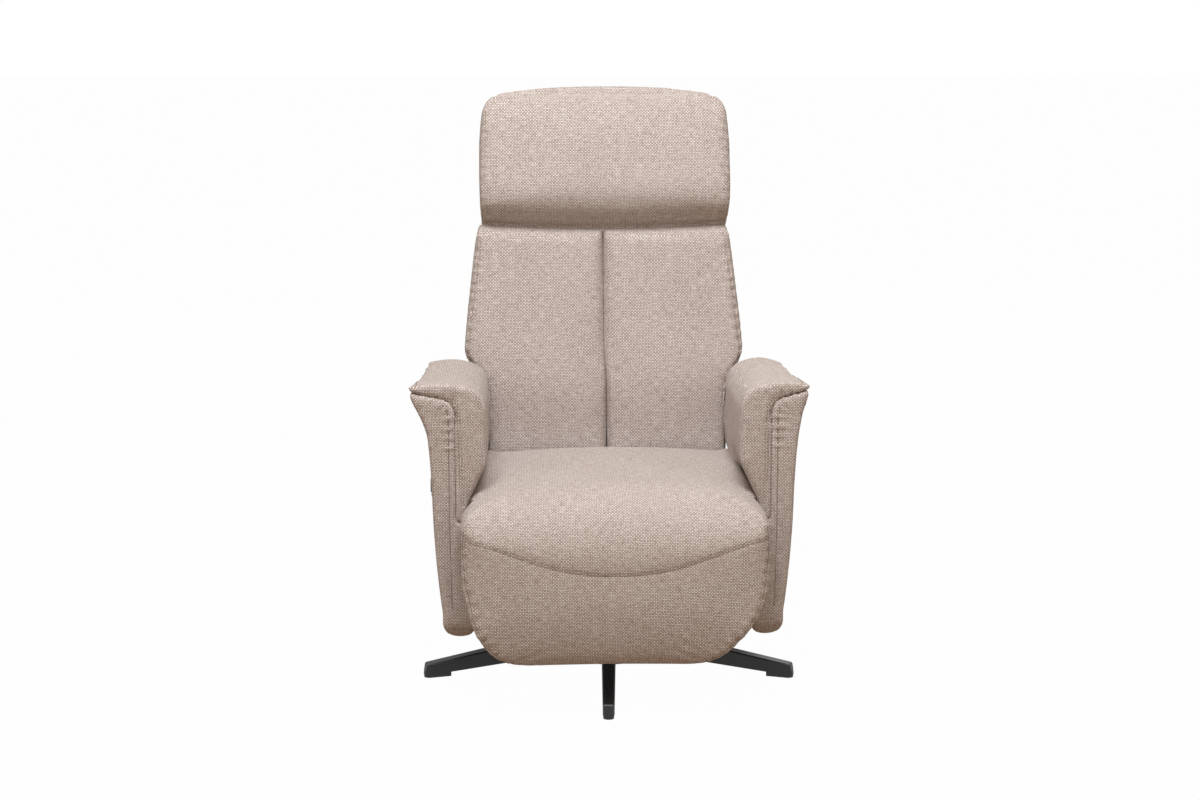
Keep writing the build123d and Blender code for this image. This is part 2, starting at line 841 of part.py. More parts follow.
# Arms: a plywood panel on two spacers, an upholstered outer slab and a pad draped over it
arm_inner = seat_between_arms_half + soft_gap
arm_front_y = -arm_front_reach
arm_rear_y = 190.0
arm_back_top_y = 102.0
arm_bottom = 119.0
arm_corner = 40.0
arm_top = 600.0
arm_step_drop = 92.0
arm_rear_drop = 25.0
arm_rear_narrowing = 22.0
arm_flare = 27.4
arm_panel_thickness = 18.0
arm_panel_gap = 8.0
pad_width = 56.0
pad_ledge_share = 0.2
flare_share = 2.0
pad_shoulder_rise = 110.0
pad_heel_run = 32.0
pad_heel_rise = 43.0
pad_tip_run = 40.0
pad_round = 30.0
pad_crown = 6.0
pad_welt = 8.0
pad_inner_drop = 42.0
pad_edge_drop = 16.0
pad_ledge_drop = 24.0
slab_tuck = 7.0
foot_lean = 18.0
arm_foot_round = 44.0
arm_tuck_drop = 60.0
arm_wall_drop = 200.0
arm_flare_drop = 95.0
arm_straight_half = arm_half_width - arm_flare
arm_panel_half = arm_inner + arm_panel_gap + arm_panel_thickness
slab_inner_half = arm_inner + pad_width
arm_wall_z = arm_top - arm_wall_drop
arm_step_z = arm_top - arm_step_drop


def arm_pad_outline(narrowing, drop):
    """Pad across the arm: inner face, crown, and the thin welted edge over the slab."""
    edge = arm_half_width - narrowing
    top = arm_top - drop
    ledge = slab_inner_half + (edge - slab_inner_half) * pad_ledge_share
    return [
        (arm_inner + pad_tip_run, arm_pad_bottom),
        (arm_inner + pad_heel_run, arm_pad_bottom + pad_heel_rise),
        (arm_inner, arm_pad_bottom + pad_shoulder_rise),
        (arm_inner, top - pad_inner_drop),
        ((arm_inner + pad_round / 4, top - pad_round / 2), (arm_inner + pad_round, top)),
        (((arm_inner + edge) / 2 + pad_round / 4, top + pad_crown), (edge, top)),
        (edge - pad_welt / 2, top - pad_welt),
        (((ledge + edge) / 2, top - pad_edge_drop), (ledge, top - pad_ledge_drop)),
        (
            (slab_inner_half + pad_welt / 4, top - pad_inner_drop + pad_welt / 2),
            (slab_inner_half, top - arm_tuck_drop),
        ),
        (slab_inner_half, arm_pad_bottom),
    ]


def arm_slab_outline(narrowing, drop):
    """Slab across the arm: straight wall, rounded foot, and the flare under the pad's edge."""
    edge = arm_half_width - narrowing
    top = arm_top - drop
    ledge = slab_inner_half + (edge - slab_inner_half) * pad_ledge_share
    foot_middle = (arm_panel_half + arm_straight_half - foot_lean) / 2
    return [
        (arm_panel_half, arm_bottom + arm_foot_round),
        ((arm_panel_half + foot_lean / 3, arm_bottom + foot_lean / 3), (foot_middle, arm_bottom)),
        (
            (arm_straight_half - foot_lean * 1.5, arm_bottom + foot_lean / 2),
            (arm_straight_half - foot_lean, arm_bottom + arm_foot_round),
        ),
        ((arm_straight_half - foot_lean / 4, rail_bottom), (arm_straight_half, arm_wall_z)),
        (
            (arm_straight_half + (edge - arm_straight_half) / 4, arm_top - arm_flare_drop),
            (edge - slab_tuck * flare_share, top - pad_ledge_drop * flare_share),
        ),
        (edge - slab_tuck, top - pad_ledge_drop),
        (edge - pad_welt / 2, top - pad_welt),
        (((ledge + edge) / 2, top - pad_edge_drop), (ledge, top - pad_ledge_drop)),
        (
            (slab_inner_half + pad_welt / 4, top - pad_inner_drop + pad_welt / 2),
            (slab_inner_half, top - arm_tuck_drop),
        ),
        (slab_inner_half, arm_pad_bottom),
        (arm_panel_half, arm_pad_bottom),
    ]


arm_side = [
    (arm_front_y, arm_bottom + arm_corner),
    (arm_front_y, arm_top + overrun),
    (arm_back_top_y, arm_top + overrun),
    (arm_back_top_y, arm_step_z),
    ((recline_axis_y + pad_round, arm_step_z - pad_inner_drop), (arm_rear_y, arm_wall_z)),
    (arm_rear_y, arm_bottom + arm_corner),
    (
        (arm_rear_y - arm_corner * (1 - diagonal), arm_bottom + arm_corner * (1 - diagonal)),
        (arm_rear_y - arm_corner, arm_bottom),
    ),
    (arm_front_y + arm_corner, arm_bottom),
    (
        (arm_front_y + arm_corner * (1 - diagonal), arm_bottom + arm_corner * (1 - diagonal)),
        (arm_front_y, arm_bottom + arm_corner),
    ),
]


def arm_loft(outline):
    """Arm piece whose section narrows and drops from front to rear, trimmed to the arm's side view."""
    front = cross_section(outline(0, 0), arm_front_y)
    rear = cross_section(outline(arm_rear_narrowing, arm_rear_drop), arm_rear_y)
    solid = loft([front, rear], ruled=True)
    return solid & prism("x", arm_side, 0, arm_half_width + overrun)


spacer_radius = 12.0
spacer_front_inset = 82.0
spacer_rear_y = 100.0
rail_middle_z = (rail_bottom + rail_top) / 2
spacer_places = ((spacer_front_inset - arm_front_reach, rail_middle_z), (spacer_rear_y, rail_middle_z))
arm_panel_inner = arm_panel_half - arm_panel_thickness
arm_panel = block(
    arm_panel_inner,
    arm_panel_half,
    arm_front_y + arm_corner / 2,
    arm_rear_y - arm_corner,
    arm_bottom + arm_foot_round,
    arm_pad_bottom,
)
spacers, arm_bolts = [], []
for place in spacer_places:
    hole = rod("x", bolt_radius, place, 0, arm_panel_half)
    arm_panel -= rod("x", bolt_radius, place, 0, arm_panel_half - pin_inset)
    nodes["side_rails"] = [bar - hole - mirrored(hole) for bar in nodes["side_rails"]]
    spacers.append(rod("x", spacer_radius, place, rail_outer, arm_panel_inner) - hole)
    bolt = rod("x", bolt_radius, place, rail_inner, arm_panel_half - pin_inset)
    bolt += rod("x", bolt_head_radius, place, rail_inner - bolt_head_height, rail_inner)
    arm_bolts.append(bolt)
arm_fixings = spacers + arm_bolts
nodes["arm_fixings"] = arm_fixings + [mirrored(solid) for solid in arm_fixings]
nodes["arm_panels"] = [arm_panel, mirrored(arm_panel)]
nodes["arm_pad_left"] = arm_loft(arm_pad_outline)
nodes["arm_pad_right"] = mirrored(nodes["arm_pad_left"])
nodes["arm_slab_left"] = arm_loft(arm_slab_outline)

# Switch plate with four buttons, let into the outer face of the sitter's right arm
switch_inset = 112.0
switch_z = 400.0
switch_half_length = 52.0
switch_half_height = 17.0
switch_sink = 10.0
switch_proud = 3.0
button_count = 4
button_pitch = 23.0
button_half_length = 9.0
button_half_height = 11.0
button_gap = 0.4
button_travel = 1.5
button_proud = 5.0
switch_y = arm_front_y + switch_inset
switch_outer = arm_straight_half + switch_proud
switch_inner = arm_straight_half - switch_sink
pocket = block(
    -arm_half_width,
    -switch_inner,
    switch_y - switch_half_length,
    switch_y + switch_half_length,
    switch_z - switch_half_height,
    switch_z + switch_half_height,
)
nodes["arm_slab_right"] = mirrored(nodes["arm_slab_left"]) - pocket
switch_plate = pocket & block(-switch_outer, 0, -arm_half_width, arm_half_width, 0, overall_height)
for k in range(button_count):
    y = switch_y + (k - (button_count - 1) / 2) * button_pitch
    outer = (y - button_half_length, y + button_half_length)
    height = (switch_z - button_half_height, switch_z + button_half_height)
    button_low = switch_inner + button_travel + button_gap * 2
    button = block(-arm_straight_half - button_proud, -button_low, *outer, *height)
    nodes[f"button_{k + 1}"] = fillet(button.edges().filter_by(Axis.X), button_travel)
    switch_plate -= block(
        -switch_outer - overrun,
        -switch_inner - button_gap,
        outer[0] - button_gap,
        outer[1] + button_gap,
        height[0] - button_gap,
        height[1] + button_gap,
    )
nodes["switch_plate"] = switch_plate

# Backrest: two steel uprights on the recline pins, cross tubes, springs, two cushions, a rear cover
upright_depth = 24.0
upright_top_drop = 14.0
hinge_eye_radius = 20.0
low_tube_v = 30.0
top_tube_drop = 44.0
back_tube_height = 20.0
back_tube_inset = 2.0
back_spring_shares = (0.23, 0.41, 0.58, 0.76)
crown_top_share = 0.66
shoulder_v = 262.0
wing_mid_run = 21.0
wing_mid_v = 226.0
waist_run = 4.0
waist_v = 192.0
tuck_v = 150.0
groove_half = 1.2
back_tube_low_v = (low_tube_v, head_seam_v - top_tube_drop)
waist_half = seat_between_arms_half + waist_run
back_outline = both_sides(
    [
        (0, head_seam_v),
        (head_half, head_seam_v),
        (shoulder_half, shoulder_v),
        ((seat_between_arms_half + wing_mid_run, wing_mid_v), (waist_half, waist_v)),
        (seat_between_arms_half, tuck_v),
        (seat_between_arms_half, 0),
        (0, 0),
    ]
)
seam_front_u = -head_axis_depth
seam_bevel_run = 24.0
seam_back_share = 0.42
seam_head_share = 0.34
leaf_inner = 150.0
leaf_thickness = 4.0
leaf_gap = 1.0
leaf_eye_radius = 6.0
leaf_pin_radius = 3.0
leaf_relief_height = 46.0
leaf_relief_depth = 14.0
head_plate_front = -22.0
head_plate_back = -8.0
head_plate_rise = 16.0
head_plate_height = 230.0
head_plate_margin = 46.5
head_plate_low_v = head_seam_v + head_plate_rise
head_plate_half = head_half - head_plate_margin


def upright():
    bar = block(upright_inner, upright_outer, -upright_depth, 0, 0, head_seam_v - upright_top_drop)
    bar += rod("x", hinge_eye_radius, (0, 0), upright_inner, upright_outer)
    return bar - rod("x", pin_radius + running_gap, (0, 0), 0, rail_outer)


def back_cushion():
    """The right-hand panel: crowned across and along, with a narrow groove at the middle."""
    front = -cushion_front_depth - cushion_crown
    across = [
        (groove_half, -frame_depth),
        (groove_half, front + cushion_crown * 2),
        (
            (groove_half + cushion_crown / 2, front + cushion_crown),
            (groove_half + cushion_crown * 2, front + cushion_crown / 2),
        ),
        ((head_half / 2, front), (waist_half, front + cushion_crown / 2)),
        ((shoulder_half - cushion_crown, front + cushion_crown), (shoulder_half, front + cushion_crown * 3)),
        (shoulder_half, -frame_depth),
    ]
    along = [
        (-frame_depth, cushion_bottom_v),
        (front + cushion_crown * 1.5, cushion_bottom_v),
        ((front + cushion_crown / 3, cushion_bottom_v * 3), (front, tuck_v)),
        (front, head_seam_v * crown_top_share),
        (front + cushion_crown / 3, head_seam_v - leaf_relief_height),
        (
            (front + cushion_crown * 0.7, head_seam_v - cushion_crown * 2),
            (seam_front_u - seam_bevel_run, head_seam_v - seam_bevel_run * seam_back_share),
        ),
        (seam_front_u, head_seam_v),
        (-frame_depth, head_seam_v),
    ]
    solid = prism("y", back_outline, front, -frame_depth)
    solid &= prism("z", across, 0, head_seam_v) & prism("x", along, 0, shoulder_half)
    return solid - head_leaf_relief(head_seam_v - leaf_relief_height, head_seam_v, -frame_depth)




def head_leaf_relief(v_low, v_high, u_high):
    leaves = 2 * leaf_thickness + leaf_gap
    return block(
        leaf_inner - leaf_gap * 2,
        leaf_inner + leaves + leaf_gap * 2,
        -head_axis_depth - leaf_relief_depth,
        u_high,
        v_low,
        v_high,
    )


back_springs = []
for share in back_spring_shares:
    wire = zigzag(2 * upright_inner, spring_amplitude / 2)
    back_springs.append(Pos(-upright_inner, -upright_depth / 2, head_seam_v * share) * Rot(90, 0, 0) * wire)
cover_side = [
    (-frame_depth, rear_cover_bottom_v),
    (rear_depth, rear_cover_bottom_v),
    ((head_rear_depth - cushion_crown / 3, tuck_v / 2), (head_rear_depth, tuck_v)),
    (head_rear_depth, head_seam_v),
    (-frame_depth, head_seam_v),
]
rear_cover = prism("y", back_outline, -frame_depth, head_rear_depth)
rear_cover &= prism("x", cover_side, -shoulder_half, shoulder_half)
rear_cover -= block(-rail_inner, rail_inner, -frame_depth, 0, 0, head_seam_v)
cushion = back_cushion()
nodes["back_uprights"] = [leaned(upright()), leaned(mirrored(upright()))]
back_tube_back = -back_tube_inset
back_tube_front = back_tube_inset - upright_depth
nodes["back_cross_tubes"] = [
    leaned(block(-upright_inner, upright_inner, back_tube_front, back_tube_back, v, v + back_tube_height))
    for v in back_tube_low_v
]
nodes["back_springs"] = [leaned(wire) for wire in back_springs]
nodes["back_cushion_left"] = leaned(cushion)
nodes["back_cushion_right"] = leaned(mirrored(cushion))
nodes["back_rear_cover"] = leaned(rear_cover)

# Recline crank, under the lower cross tube
back_crank_half = 14.0
low = back_rod_x - crank_thickness / 2
back_axis = (recline_axis_y, recline_axis_z, recline_half)
back_far = back_rod_drop / math.cos(recline_half) + rod_pin_radius + back_slot_spare
back_near = back_rod_drop - rod_pin_radius - back_slot_spare
back_root = [
    (recline_axis_y - back_crank_half, recline_axis_z + overrun),
    (recline_axis_y + back_crank_half, recline_axis_z + overrun),
    from_axis(*back_axis, back_near, rod_pin_radius + back_slot_spare + slot_wall),
    from_axis(*back_axis, back_near, -rod_pin_radius - back_slot_spare - slot_wall),
]
back_slot_half = rod_pin_radius + back_slot_spare
crank = slotted_lever(*back_axis, back_near, back_far, back_slot_half, back_root, low, low + crank_thickness)
above_tube = block(-rail_outer, 0, -rail_outer, rail_outer, back_tube_low_v[0], overall_height)
nodes["back_crank"] = crank - leaned(above_tube)

# Headrest: a plate on two friction leaves that turn near the front seam, a cushion, a rear cover
head_bottom_v = head_seam_v + touch_gap
head_corner_drop = 9.0
head_outline = both_sides(
    [
        (0, head_top_v),
        (
            (head_half * 0.4, head_top_v - head_corner_drop * 0.2),
            (head_half * 0.76, head_top_v - head_corner_drop),
        ),
        (
            (head_half * 0.93, head_top_v - head_corner_drop * 2.7),
            (head_half * 0.99, head_top_v - head_corner_drop * 7),
        ),
        (head_half, head_top_v - head_corner_drop * 12),
        (head_half, head_bottom_v),
        (0, head_bottom_v),
    ]
)
head_bulge_depth = 124.0
head_bulge_rise = 86.0
head_lip_rise = 38.0
head_upper_depth = 88.0
head_upper_drop = 20.0
head_rear_corner = 14.0
head_rear_round = 60.0
head_side = [
    (head_plate_back, head_bottom_v),
    (seam_front_u, head_bottom_v),
    (seam_front_u - seam_bevel_run, head_bottom_v + seam_bevel_run * seam_head_share),
    (
        (-head_bulge_depth + head_upper_drop, head_bottom_v + head_corner_drop * 1.8),
        (head_corner_drop - head_bulge_depth, head_bottom_v + head_lip_rise),
    ),
    (
        (-head_bulge_depth, head_seam_v + head_bulge_rise),
        (head_corner_drop / 2 - head_bulge_depth, head_seam_v + head_bulge_rise + head_rear_round),
    ),
    (
        (-head_upper_depth - head_upper_drop * 0.8, head_top_v - head_rear_round),
        (-head_upper_depth, head_top_v - head_upper_drop),
    ),
    ((-head_axis_depth, head_top_v - head_corner_drop * 0.4), (-head_crest_depth, head_top_v)),
    (head_plate_back, head_top_v),
]
head_rear_side = [
    (head_plate_back, head_bottom_v),
    (head_plate_back, head_top_v),
    (
        (head_rear_depth - head_rear_corner * 2, head_top_v - head_corner_drop * 0.6),
        (head_rear_depth - head_corner_drop * 0.8, head_top_v - head_rear_round / 2),
    ),
    (head_rear_depth, head_top_v - head_rear_round),
    (head_rear_depth, head_bottom_v),
]
head_cushion = prism("y", head_outline, -head_bulge_depth - overrun, head_plate_back)
head_cushion &= prism("x", head_side, -head_half, head_half)
head_plate = block(
    -head_plate_half,
    head_plate_half,
    head_plate_front,
    head_plate_back,
    head_plate_low_v,
    head_plate_low_v + head_plate_height,
)
relief = head_leaf_relief(head_bottom_v, head_bottom_v + leaf_relief_height * 1.5, head_plate_front)
for cut in (head_plate, relief, mirrored(relief)):
    head_cushion -= cut
head_rear = prism("y", head_outline, head_plate_back, head_rear_depth)
head_rear &= prism("x", head_rear_side, -head_half, head_half)
nodes["headrest_cushion"] = leaned(head_cushion)
nodes["headrest_rear_cover"] = leaned(head_rear)
nodes["headrest_plate"] = leaned(head_plate)

moving_inner = leaf_inner + leaf_thickness + leaf_gap
pivot = (-head_axis_depth, head_seam_v)


def leaf(x_low, corners, hole):
    """Steel leaf with an eye at the head axis."""
    plate = prism("x", corners, x_low, x_low + leaf_thickness)
    plate += rod("x", leaf_eye_radius, pivot, x_low, x_low + leaf_thickness)
    return plate - rod("x", hole, pivot, 0, rail_outer)


fixed_leaf = leaf(
    leaf_inner,
    [
        (back_tube_front, back_tube_low_v[1]),
        (back_tube_front, back_tube_low_v[1] + back_tube_height),
        (-head_axis_depth, head_seam_v + leaf_eye_radius),
        (-head_axis_depth - leaf_eye_radius, head_seam_v),
        (-head_axis_depth, head_seam_v - leaf_eye_radius),
    ],
    leaf_pin_radius,
)
moving_leaf = leaf(
    moving_inner,
    [
        (head_plate_front, head_plate_low_v),
        (-head_axis_depth + leaf_eye_radius, head_seam_v),
        (-head_axis_depth - leaf_eye_radius, head_seam_v),
        (-head_axis_depth, head_seam_v + leaf_eye_radius),
        (head_plate_front, head_plate_low_v + leaf_relief_height),
    ],
    leaf_pin_radius + running_gap,
)
head_pin = rod(
    "x", leaf_pin_radius, pivot, leaf_inner - leaf_gap, moving_inner + leaf_thickness + leaf_gap
)
fixed_leaves = [fixed_leaf, head_pin]
fixed_leaves += [mirrored(piece) for piece in fixed_leaves]
nodes["headrest_leaves_fixed"] = [leaned(piece) for piece in fixed_leaves]
nodes["headrest_leaves_moving"] = [leaned(moving_leaf), leaned(mirrored(moving_leaf))]

os.makedirs("parts", exist_ok=True)
for name, solids in nodes.items():
    pieces = solids if isinstance(solids, list) else [solids]
    bodies = [solid for piece in pieces for solid in piece.solids()]
    export_step(Compound(children=bodies), f"parts/{name}.step")

print("joint places, mm")
print("footrest axis", footrest_axis_y, footrest_axis_z, "stroke", round(footrest_stroke, 3))
print("recline axis", recline_axis_y, recline_axis_z, "stroke", round(back_stroke, 3))
head_y = recline_axis_y - head_axis_depth * math.cos(lean) + head_seam_v * math.sin(lean)
head_z = recline_axis_z + head_axis_depth * math.sin(lean) + head_seam_v * math.cos(lean)
print("head axis", round(head_y, 3), round(head_z, 3), "nodes", len(nodes))
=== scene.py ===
import json
import math

import bmesh
import bpy
import numpy as np
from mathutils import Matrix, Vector
from mathutils.bvhtree import BVHTree
from mathutils.kdtree import KDTree


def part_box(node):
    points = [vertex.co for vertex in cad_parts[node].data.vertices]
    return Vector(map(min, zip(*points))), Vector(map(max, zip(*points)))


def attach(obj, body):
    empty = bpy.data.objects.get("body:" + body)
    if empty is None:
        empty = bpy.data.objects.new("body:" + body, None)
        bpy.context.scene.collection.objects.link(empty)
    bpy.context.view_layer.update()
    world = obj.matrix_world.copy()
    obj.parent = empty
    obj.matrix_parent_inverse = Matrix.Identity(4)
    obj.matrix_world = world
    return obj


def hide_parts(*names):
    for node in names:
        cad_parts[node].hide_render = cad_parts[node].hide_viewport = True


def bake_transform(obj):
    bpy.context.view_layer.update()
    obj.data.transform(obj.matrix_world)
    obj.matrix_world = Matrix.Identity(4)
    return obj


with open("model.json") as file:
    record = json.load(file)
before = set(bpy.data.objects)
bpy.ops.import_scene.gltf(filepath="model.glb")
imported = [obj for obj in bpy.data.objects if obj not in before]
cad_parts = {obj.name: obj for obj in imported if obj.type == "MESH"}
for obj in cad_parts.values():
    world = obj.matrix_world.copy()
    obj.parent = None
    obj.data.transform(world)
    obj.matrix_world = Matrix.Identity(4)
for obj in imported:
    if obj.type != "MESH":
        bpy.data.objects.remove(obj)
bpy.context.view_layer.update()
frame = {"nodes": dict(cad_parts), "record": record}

# Seat and footrest front. One foam block, wrapped in a coarse basket-woven cloth in beige yarns.
# The cloth runs over the nose and down the footrest, where a curved seam joins the two panels.
# It is sewn at the sides, and folds over the footrest's hinge.
mm = 0.001
weave_pitch = 3.0 * mm
yarn_light = (0.900, 0.840, 0.810)
yarn_dark = (0.385, 0.300, 0.250)
# The gap colour is painted shade in the hollows between the yarns.
painted_gap_shade = (0.250, 0.185, 0.150)
yarn_stretch, yarn_lift, yarn_roundness = 0.2, 0.10, 0.45
tone_dark, tone_light = 0.33, 0.60
wobble_scale, wobble_share = 28.0, 0.9
fibre_scale, fibre_share = 2600.0, 0.5
cloud_scale, cloud_share = 9.0, 0.10
weave_bump, weave_depth_share, fibre_bump = 0.75, 0.35, 0.3
# Thread colours, also used for the thin tubes that paint shadow lines along the seams.
thread_and_shadow_dark, thread_and_shadow_light, strand_scale = (0.13, 0.09, 0.065), (0.30, 0.23, 0.18), 1800.0
seat_voxel = 4.4 * mm
seat_round_passes = 12
sewn_reach = 3 * mm
thread_inset = 5 * mm
far = 1  # metres off, where a ray starts that lays a line on the cloth
backward, downward = (0, 1, 0), (0, 0, -1)


def new_material(name):
    """A new material that uses nodes, with its nodes and its links."""
    material = bpy.data.materials.new(name)
    material.use_nodes = True
    return material, material.node_tree.nodes, material.node_tree.links


def woven_cloth(name, light, dark, gap_shade, pitch):
    """Plain basket weave on the piece's own cloth map, with yarns of uneven tone and painted shade in the
    gaps between them.
    """
    material, nodes, links = new_material(name)
    shader = nodes["Principled BSDF"]
    shader.inputs["Roughness"].default_value = 0.92
    shader.inputs["Specular IOR Level"].default_value = 0.25
    shader.inputs["Sheen Weight"].default_value = 0.12
    shader.inputs["Sheen Roughness"].default_value = 0.5
    cloth_map = nodes.new("ShaderNodeUVMap")
    cloth_map.uv_map = "cloth"

    def scaled(x, y):
        mapping = nodes.new("ShaderNodeMapping")
        mapping.inputs["Scale"].default_value = (x, y, 1)
        links.new(cloth_map.outputs["UV"], mapping.inputs["Vector"])
        return mapping.outputs["Vector"]

    def math_of(operation, first, second=None):
        node = nodes.new("ShaderNodeMath")
        node.operation = operation
        for socket, value in zip(node.inputs, (first, second)):
            if value is None:
                continue
            if isinstance(value, (int, float)):
                socket.default_value = value
            else:
                links.new(value, socket)
        return node.outputs["Value"]

    def noise(vector, scale, detail):
        node = nodes.new("ShaderNodeTexNoise")
        node.inputs["Scale"].default_value = scale
        node.inputs["Detail"].default_value = detail
        links.new(vector, node.inputs["Vector"])
        return node.outputs["Fac"]

    wobble = noise(scaled(1, 1), wobble_scale, 2.0)
    bent = nodes.new("ShaderNodeVectorMath")
    bent.operation = "MULTIPLY_ADD"
    for k in range(3):
        bent.inputs[1].default_value[k] = pitch * wobble_share
    links.new(wobble, bent.inputs[0])
    links.new(cloth_map.outputs["UV"], bent.inputs[2])
    phase = nodes.new("ShaderNodeMapping")
    phase.inputs["Scale"].default_value = (math.pi / pitch, math.pi / pitch, 1)
    links.new(bent.outputs["Vector"], phase.inputs["Vector"])
    apart = nodes.new("ShaderNodeSeparateXYZ")
    links.new(phase.outputs["Vector"], apart.inputs["Vector"])
    across = math_of("SINE", apart.outputs["X"])
    along = math_of("SINE", apart.outputs["Y"])
    product = math_of("MULTIPLY", across, along)
    height = math_of("POWER", math_of("ABSOLUTE", product), yarn_roundness)
    warp_on_top = math_of("GREATER_THAN", product, 0.0)

    warp_tone = math_of("ADD", noise(scaled(1 / pitch, yarn_stretch / pitch), 1.0, 3.0), yarn_lift)
    weft_tone = math_of("ADD", noise(scaled(yarn_stretch / pitch, 1 / pitch), 1.0, 3.0), -yarn_lift)
    tone = nodes.new("ShaderNodeMix")
    links.new(warp_on_top, tone.inputs["Factor"])
    links.new(weft_tone, tone.inputs["A"])
    links.new(warp_tone, tone.inputs["B"])
    fibre = noise(scaled(1, 1), fibre_scale, 2.0)
    cloudy = noise(scaled(1, 1), cloud_scale, 3.0)
    mixed = tone.outputs["Result"]
    for source, share in ((fibre, fibre_share), (cloudy, cloud_share)):
        mixed = math_of("ADD", mixed, math_of("MULTIPLY", math_of("SUBTRACT", source, 0.5), share))
    ramp = nodes.new("ShaderNodeValToRGB")
    ramp.color_ramp.elements[0].position = tone_dark
    ramp.color_ramp.elements[0].color = (*dark, 1)
    ramp.color_ramp.elements[1].position = tone_light
    ramp.color_ramp.elements[1].color = (*light, 1)
    links.new(mixed, ramp.inputs["Fac"])
    # Where the yarns dip, the colour goes to the gap colour: painted shade in the weave's hollows.
    colour = nodes.new("ShaderNodeMix")
    colour.data_type = "RGBA"
    colour.inputs["A"].default_value = (*gap_shade, 1)
    links.new(height, colour.inputs["Factor"])
    links.new(ramp.outputs["Color"], colour.inputs["B"])
    links.new(colour.outputs["Result"], shader.inputs["Base Color"])
    bump = nodes.new("ShaderNodeBump")
    bump.inputs["Strength"].default_value = weave_bump
    bump.inputs["Distance"].default_value = pitch * weave_depth_share
    links.new(math_of("ADD", height, math_of("MULTIPLY", fibre, fibre_bump)), bump.inputs["Height"])
    links.new(bump.outputs["Normal"], shader.inputs["Normal"])
    return material


def link(obj):
    """Puts a new object in the scene."""
    bpy.context.scene.collection.objects.link(obj)
    return obj


def box_corners(low, high):
    """Corners and outward faces of a block."""
    corners = [(x, y, z) for x in (low[0], high[0]) for y in (low[1], high[1]) for z in (low[2], high[2])]
    faces = [(0, 1, 3, 2), (4, 6, 7, 5), (0, 4, 5, 1), (2, 3, 7, 6), (0, 2, 6, 4), (1, 5, 7, 3)]
    return corners, faces


def foam(name, nodes, voxel, swell=0.6 * mm, plugs=()):
    """One closed body around the solids that it stands for, on an even grid of small faces.
    Plugs are blocks that close the slots cut for the hinges, so that the cloth runs over them."""
    shape = bmesh.new()
    for node in nodes:
        source = frame["nodes"][node]
        known = len(shape.verts)
        shape.from_mesh(source.data)
        shape.verts.ensure_lookup_table()
        bmesh.ops.transform(shape, matrix=source.matrix_world, verts=shape.verts[known:])
    for corners, faces in plugs:
        added = [shape.verts.new(corner) for corner in corners]
        for face in faces:
            shape.faces.new([added[k] for k in face])
    bmesh.ops.remove_doubles(shape, verts=shape.verts, dist=0.02 * mm)
    shape.normal_update()
    for vert in shape.verts:
        vert.co += vert.normal * swell
    rough = bpy.data.meshes.new(name)
    shape.to_mesh(rough)
    shape.free()
    obj = link(bpy.data.objects.new(name, rough))
    grid = obj.modifiers.new("grid", "REMESH")
    grid.mode = "VOXEL"
    grid.voxel_size = voxel
    graph = bpy.context.evaluated_depsgraph_get()
    even = bpy.data.meshes.new_from_object(obj.evaluated_get(graph))
    obj.modifiers.clear()
    obj.data = even
    even.name = name
    bpy.data.meshes.remove(rough)
    return obj


def points_of(obj):
    """The mesh's points, one row each."""
    points = np.empty(len(obj.data.vertices) * 3)
    obj.data.vertices.foreach_get("co", points)
    return points.reshape(-1, 3)


def normals_of(obj):
    """The outward direction at each point."""
    normals = np.empty(len(obj.data.vertices) * 3)
    obj.data.vertices.foreach_get("normal", normals)
    return normals.reshape(-1, 3)


def move_to(obj, points):
    """Puts the mesh's points in new places."""
    obj.data.vertices.foreach_set("co", points.ravel())
    obj.data.update()


def relax(obj, passes):
    """Rounds the edges as foam under cloth does: each point goes half way to its neighbours' middle."""
    points = points_of(obj)
    edges = np.empty(len(obj.data.edges) * 2, dtype=np.int64)
    obj.data.edges.foreach_get("vertices", edges)
    first, second = edges.reshape(-1, 2).T
    ends, others = np.concatenate((first, second)), np.concatenate((second, first))
    count = np.bincount(ends, minlength=len(points))[:, None]
    for _ in range(passes):
        total = [np.bincount(ends, weights=points[others, k], minlength=len(points)) for k in range(3)]
        points = points + 0.5 * (np.stack(total, axis=1) / count - points)
    move_to(obj, points)


def fine(path, step=2.0 * mm):
    """The same path with a point every step."""
    path = np.asarray(path, float)
    lengths = np.concatenate(([0], np.cumsum(np.linalg.norm(np.diff(path, axis=0), axis=1))))
    places = np.linspace(0, lengths[-1], max(2, int(lengths[-1] / step)))
    return np.stack([np.interp(places, lengths, path[:, k]) for k in range(3)], axis=1)


def on_cloth(obj, starts, direction):
    """A path laid on the piece: each start point goes along the direction until it meets the cloth."""
    tree = BVHTree.FromPolygons(
        [v.co for v in obj.data.vertices], [tuple(p.vertices) for p in obj.data.polygons]
    )
    hits = [tree.ray_cast(Vector(start), Vector(direction))[0] for start in starts]
    return np.array([hit for hit in hits if hit is not None])


def distance_to(obj, path):
    """How far each point of the piece lies from a path."""
    tree = KDTree(len(path))
    for k, point in enumerate(path):
        tree.insert(point, k)
    tree.balance()
    return np.array([tree.find(vert.co)[2] for vert in obj.data.vertices])


def draw_in(obj, path, depth, width):
    """Pulls the cloth in along a seam."""
    distance = distance_to(obj, path)
    pull = depth * np.exp(-((distance / width) ** 2))
    move_to(obj, points_of(obj) - normals_of(obj) * pull[:, None])


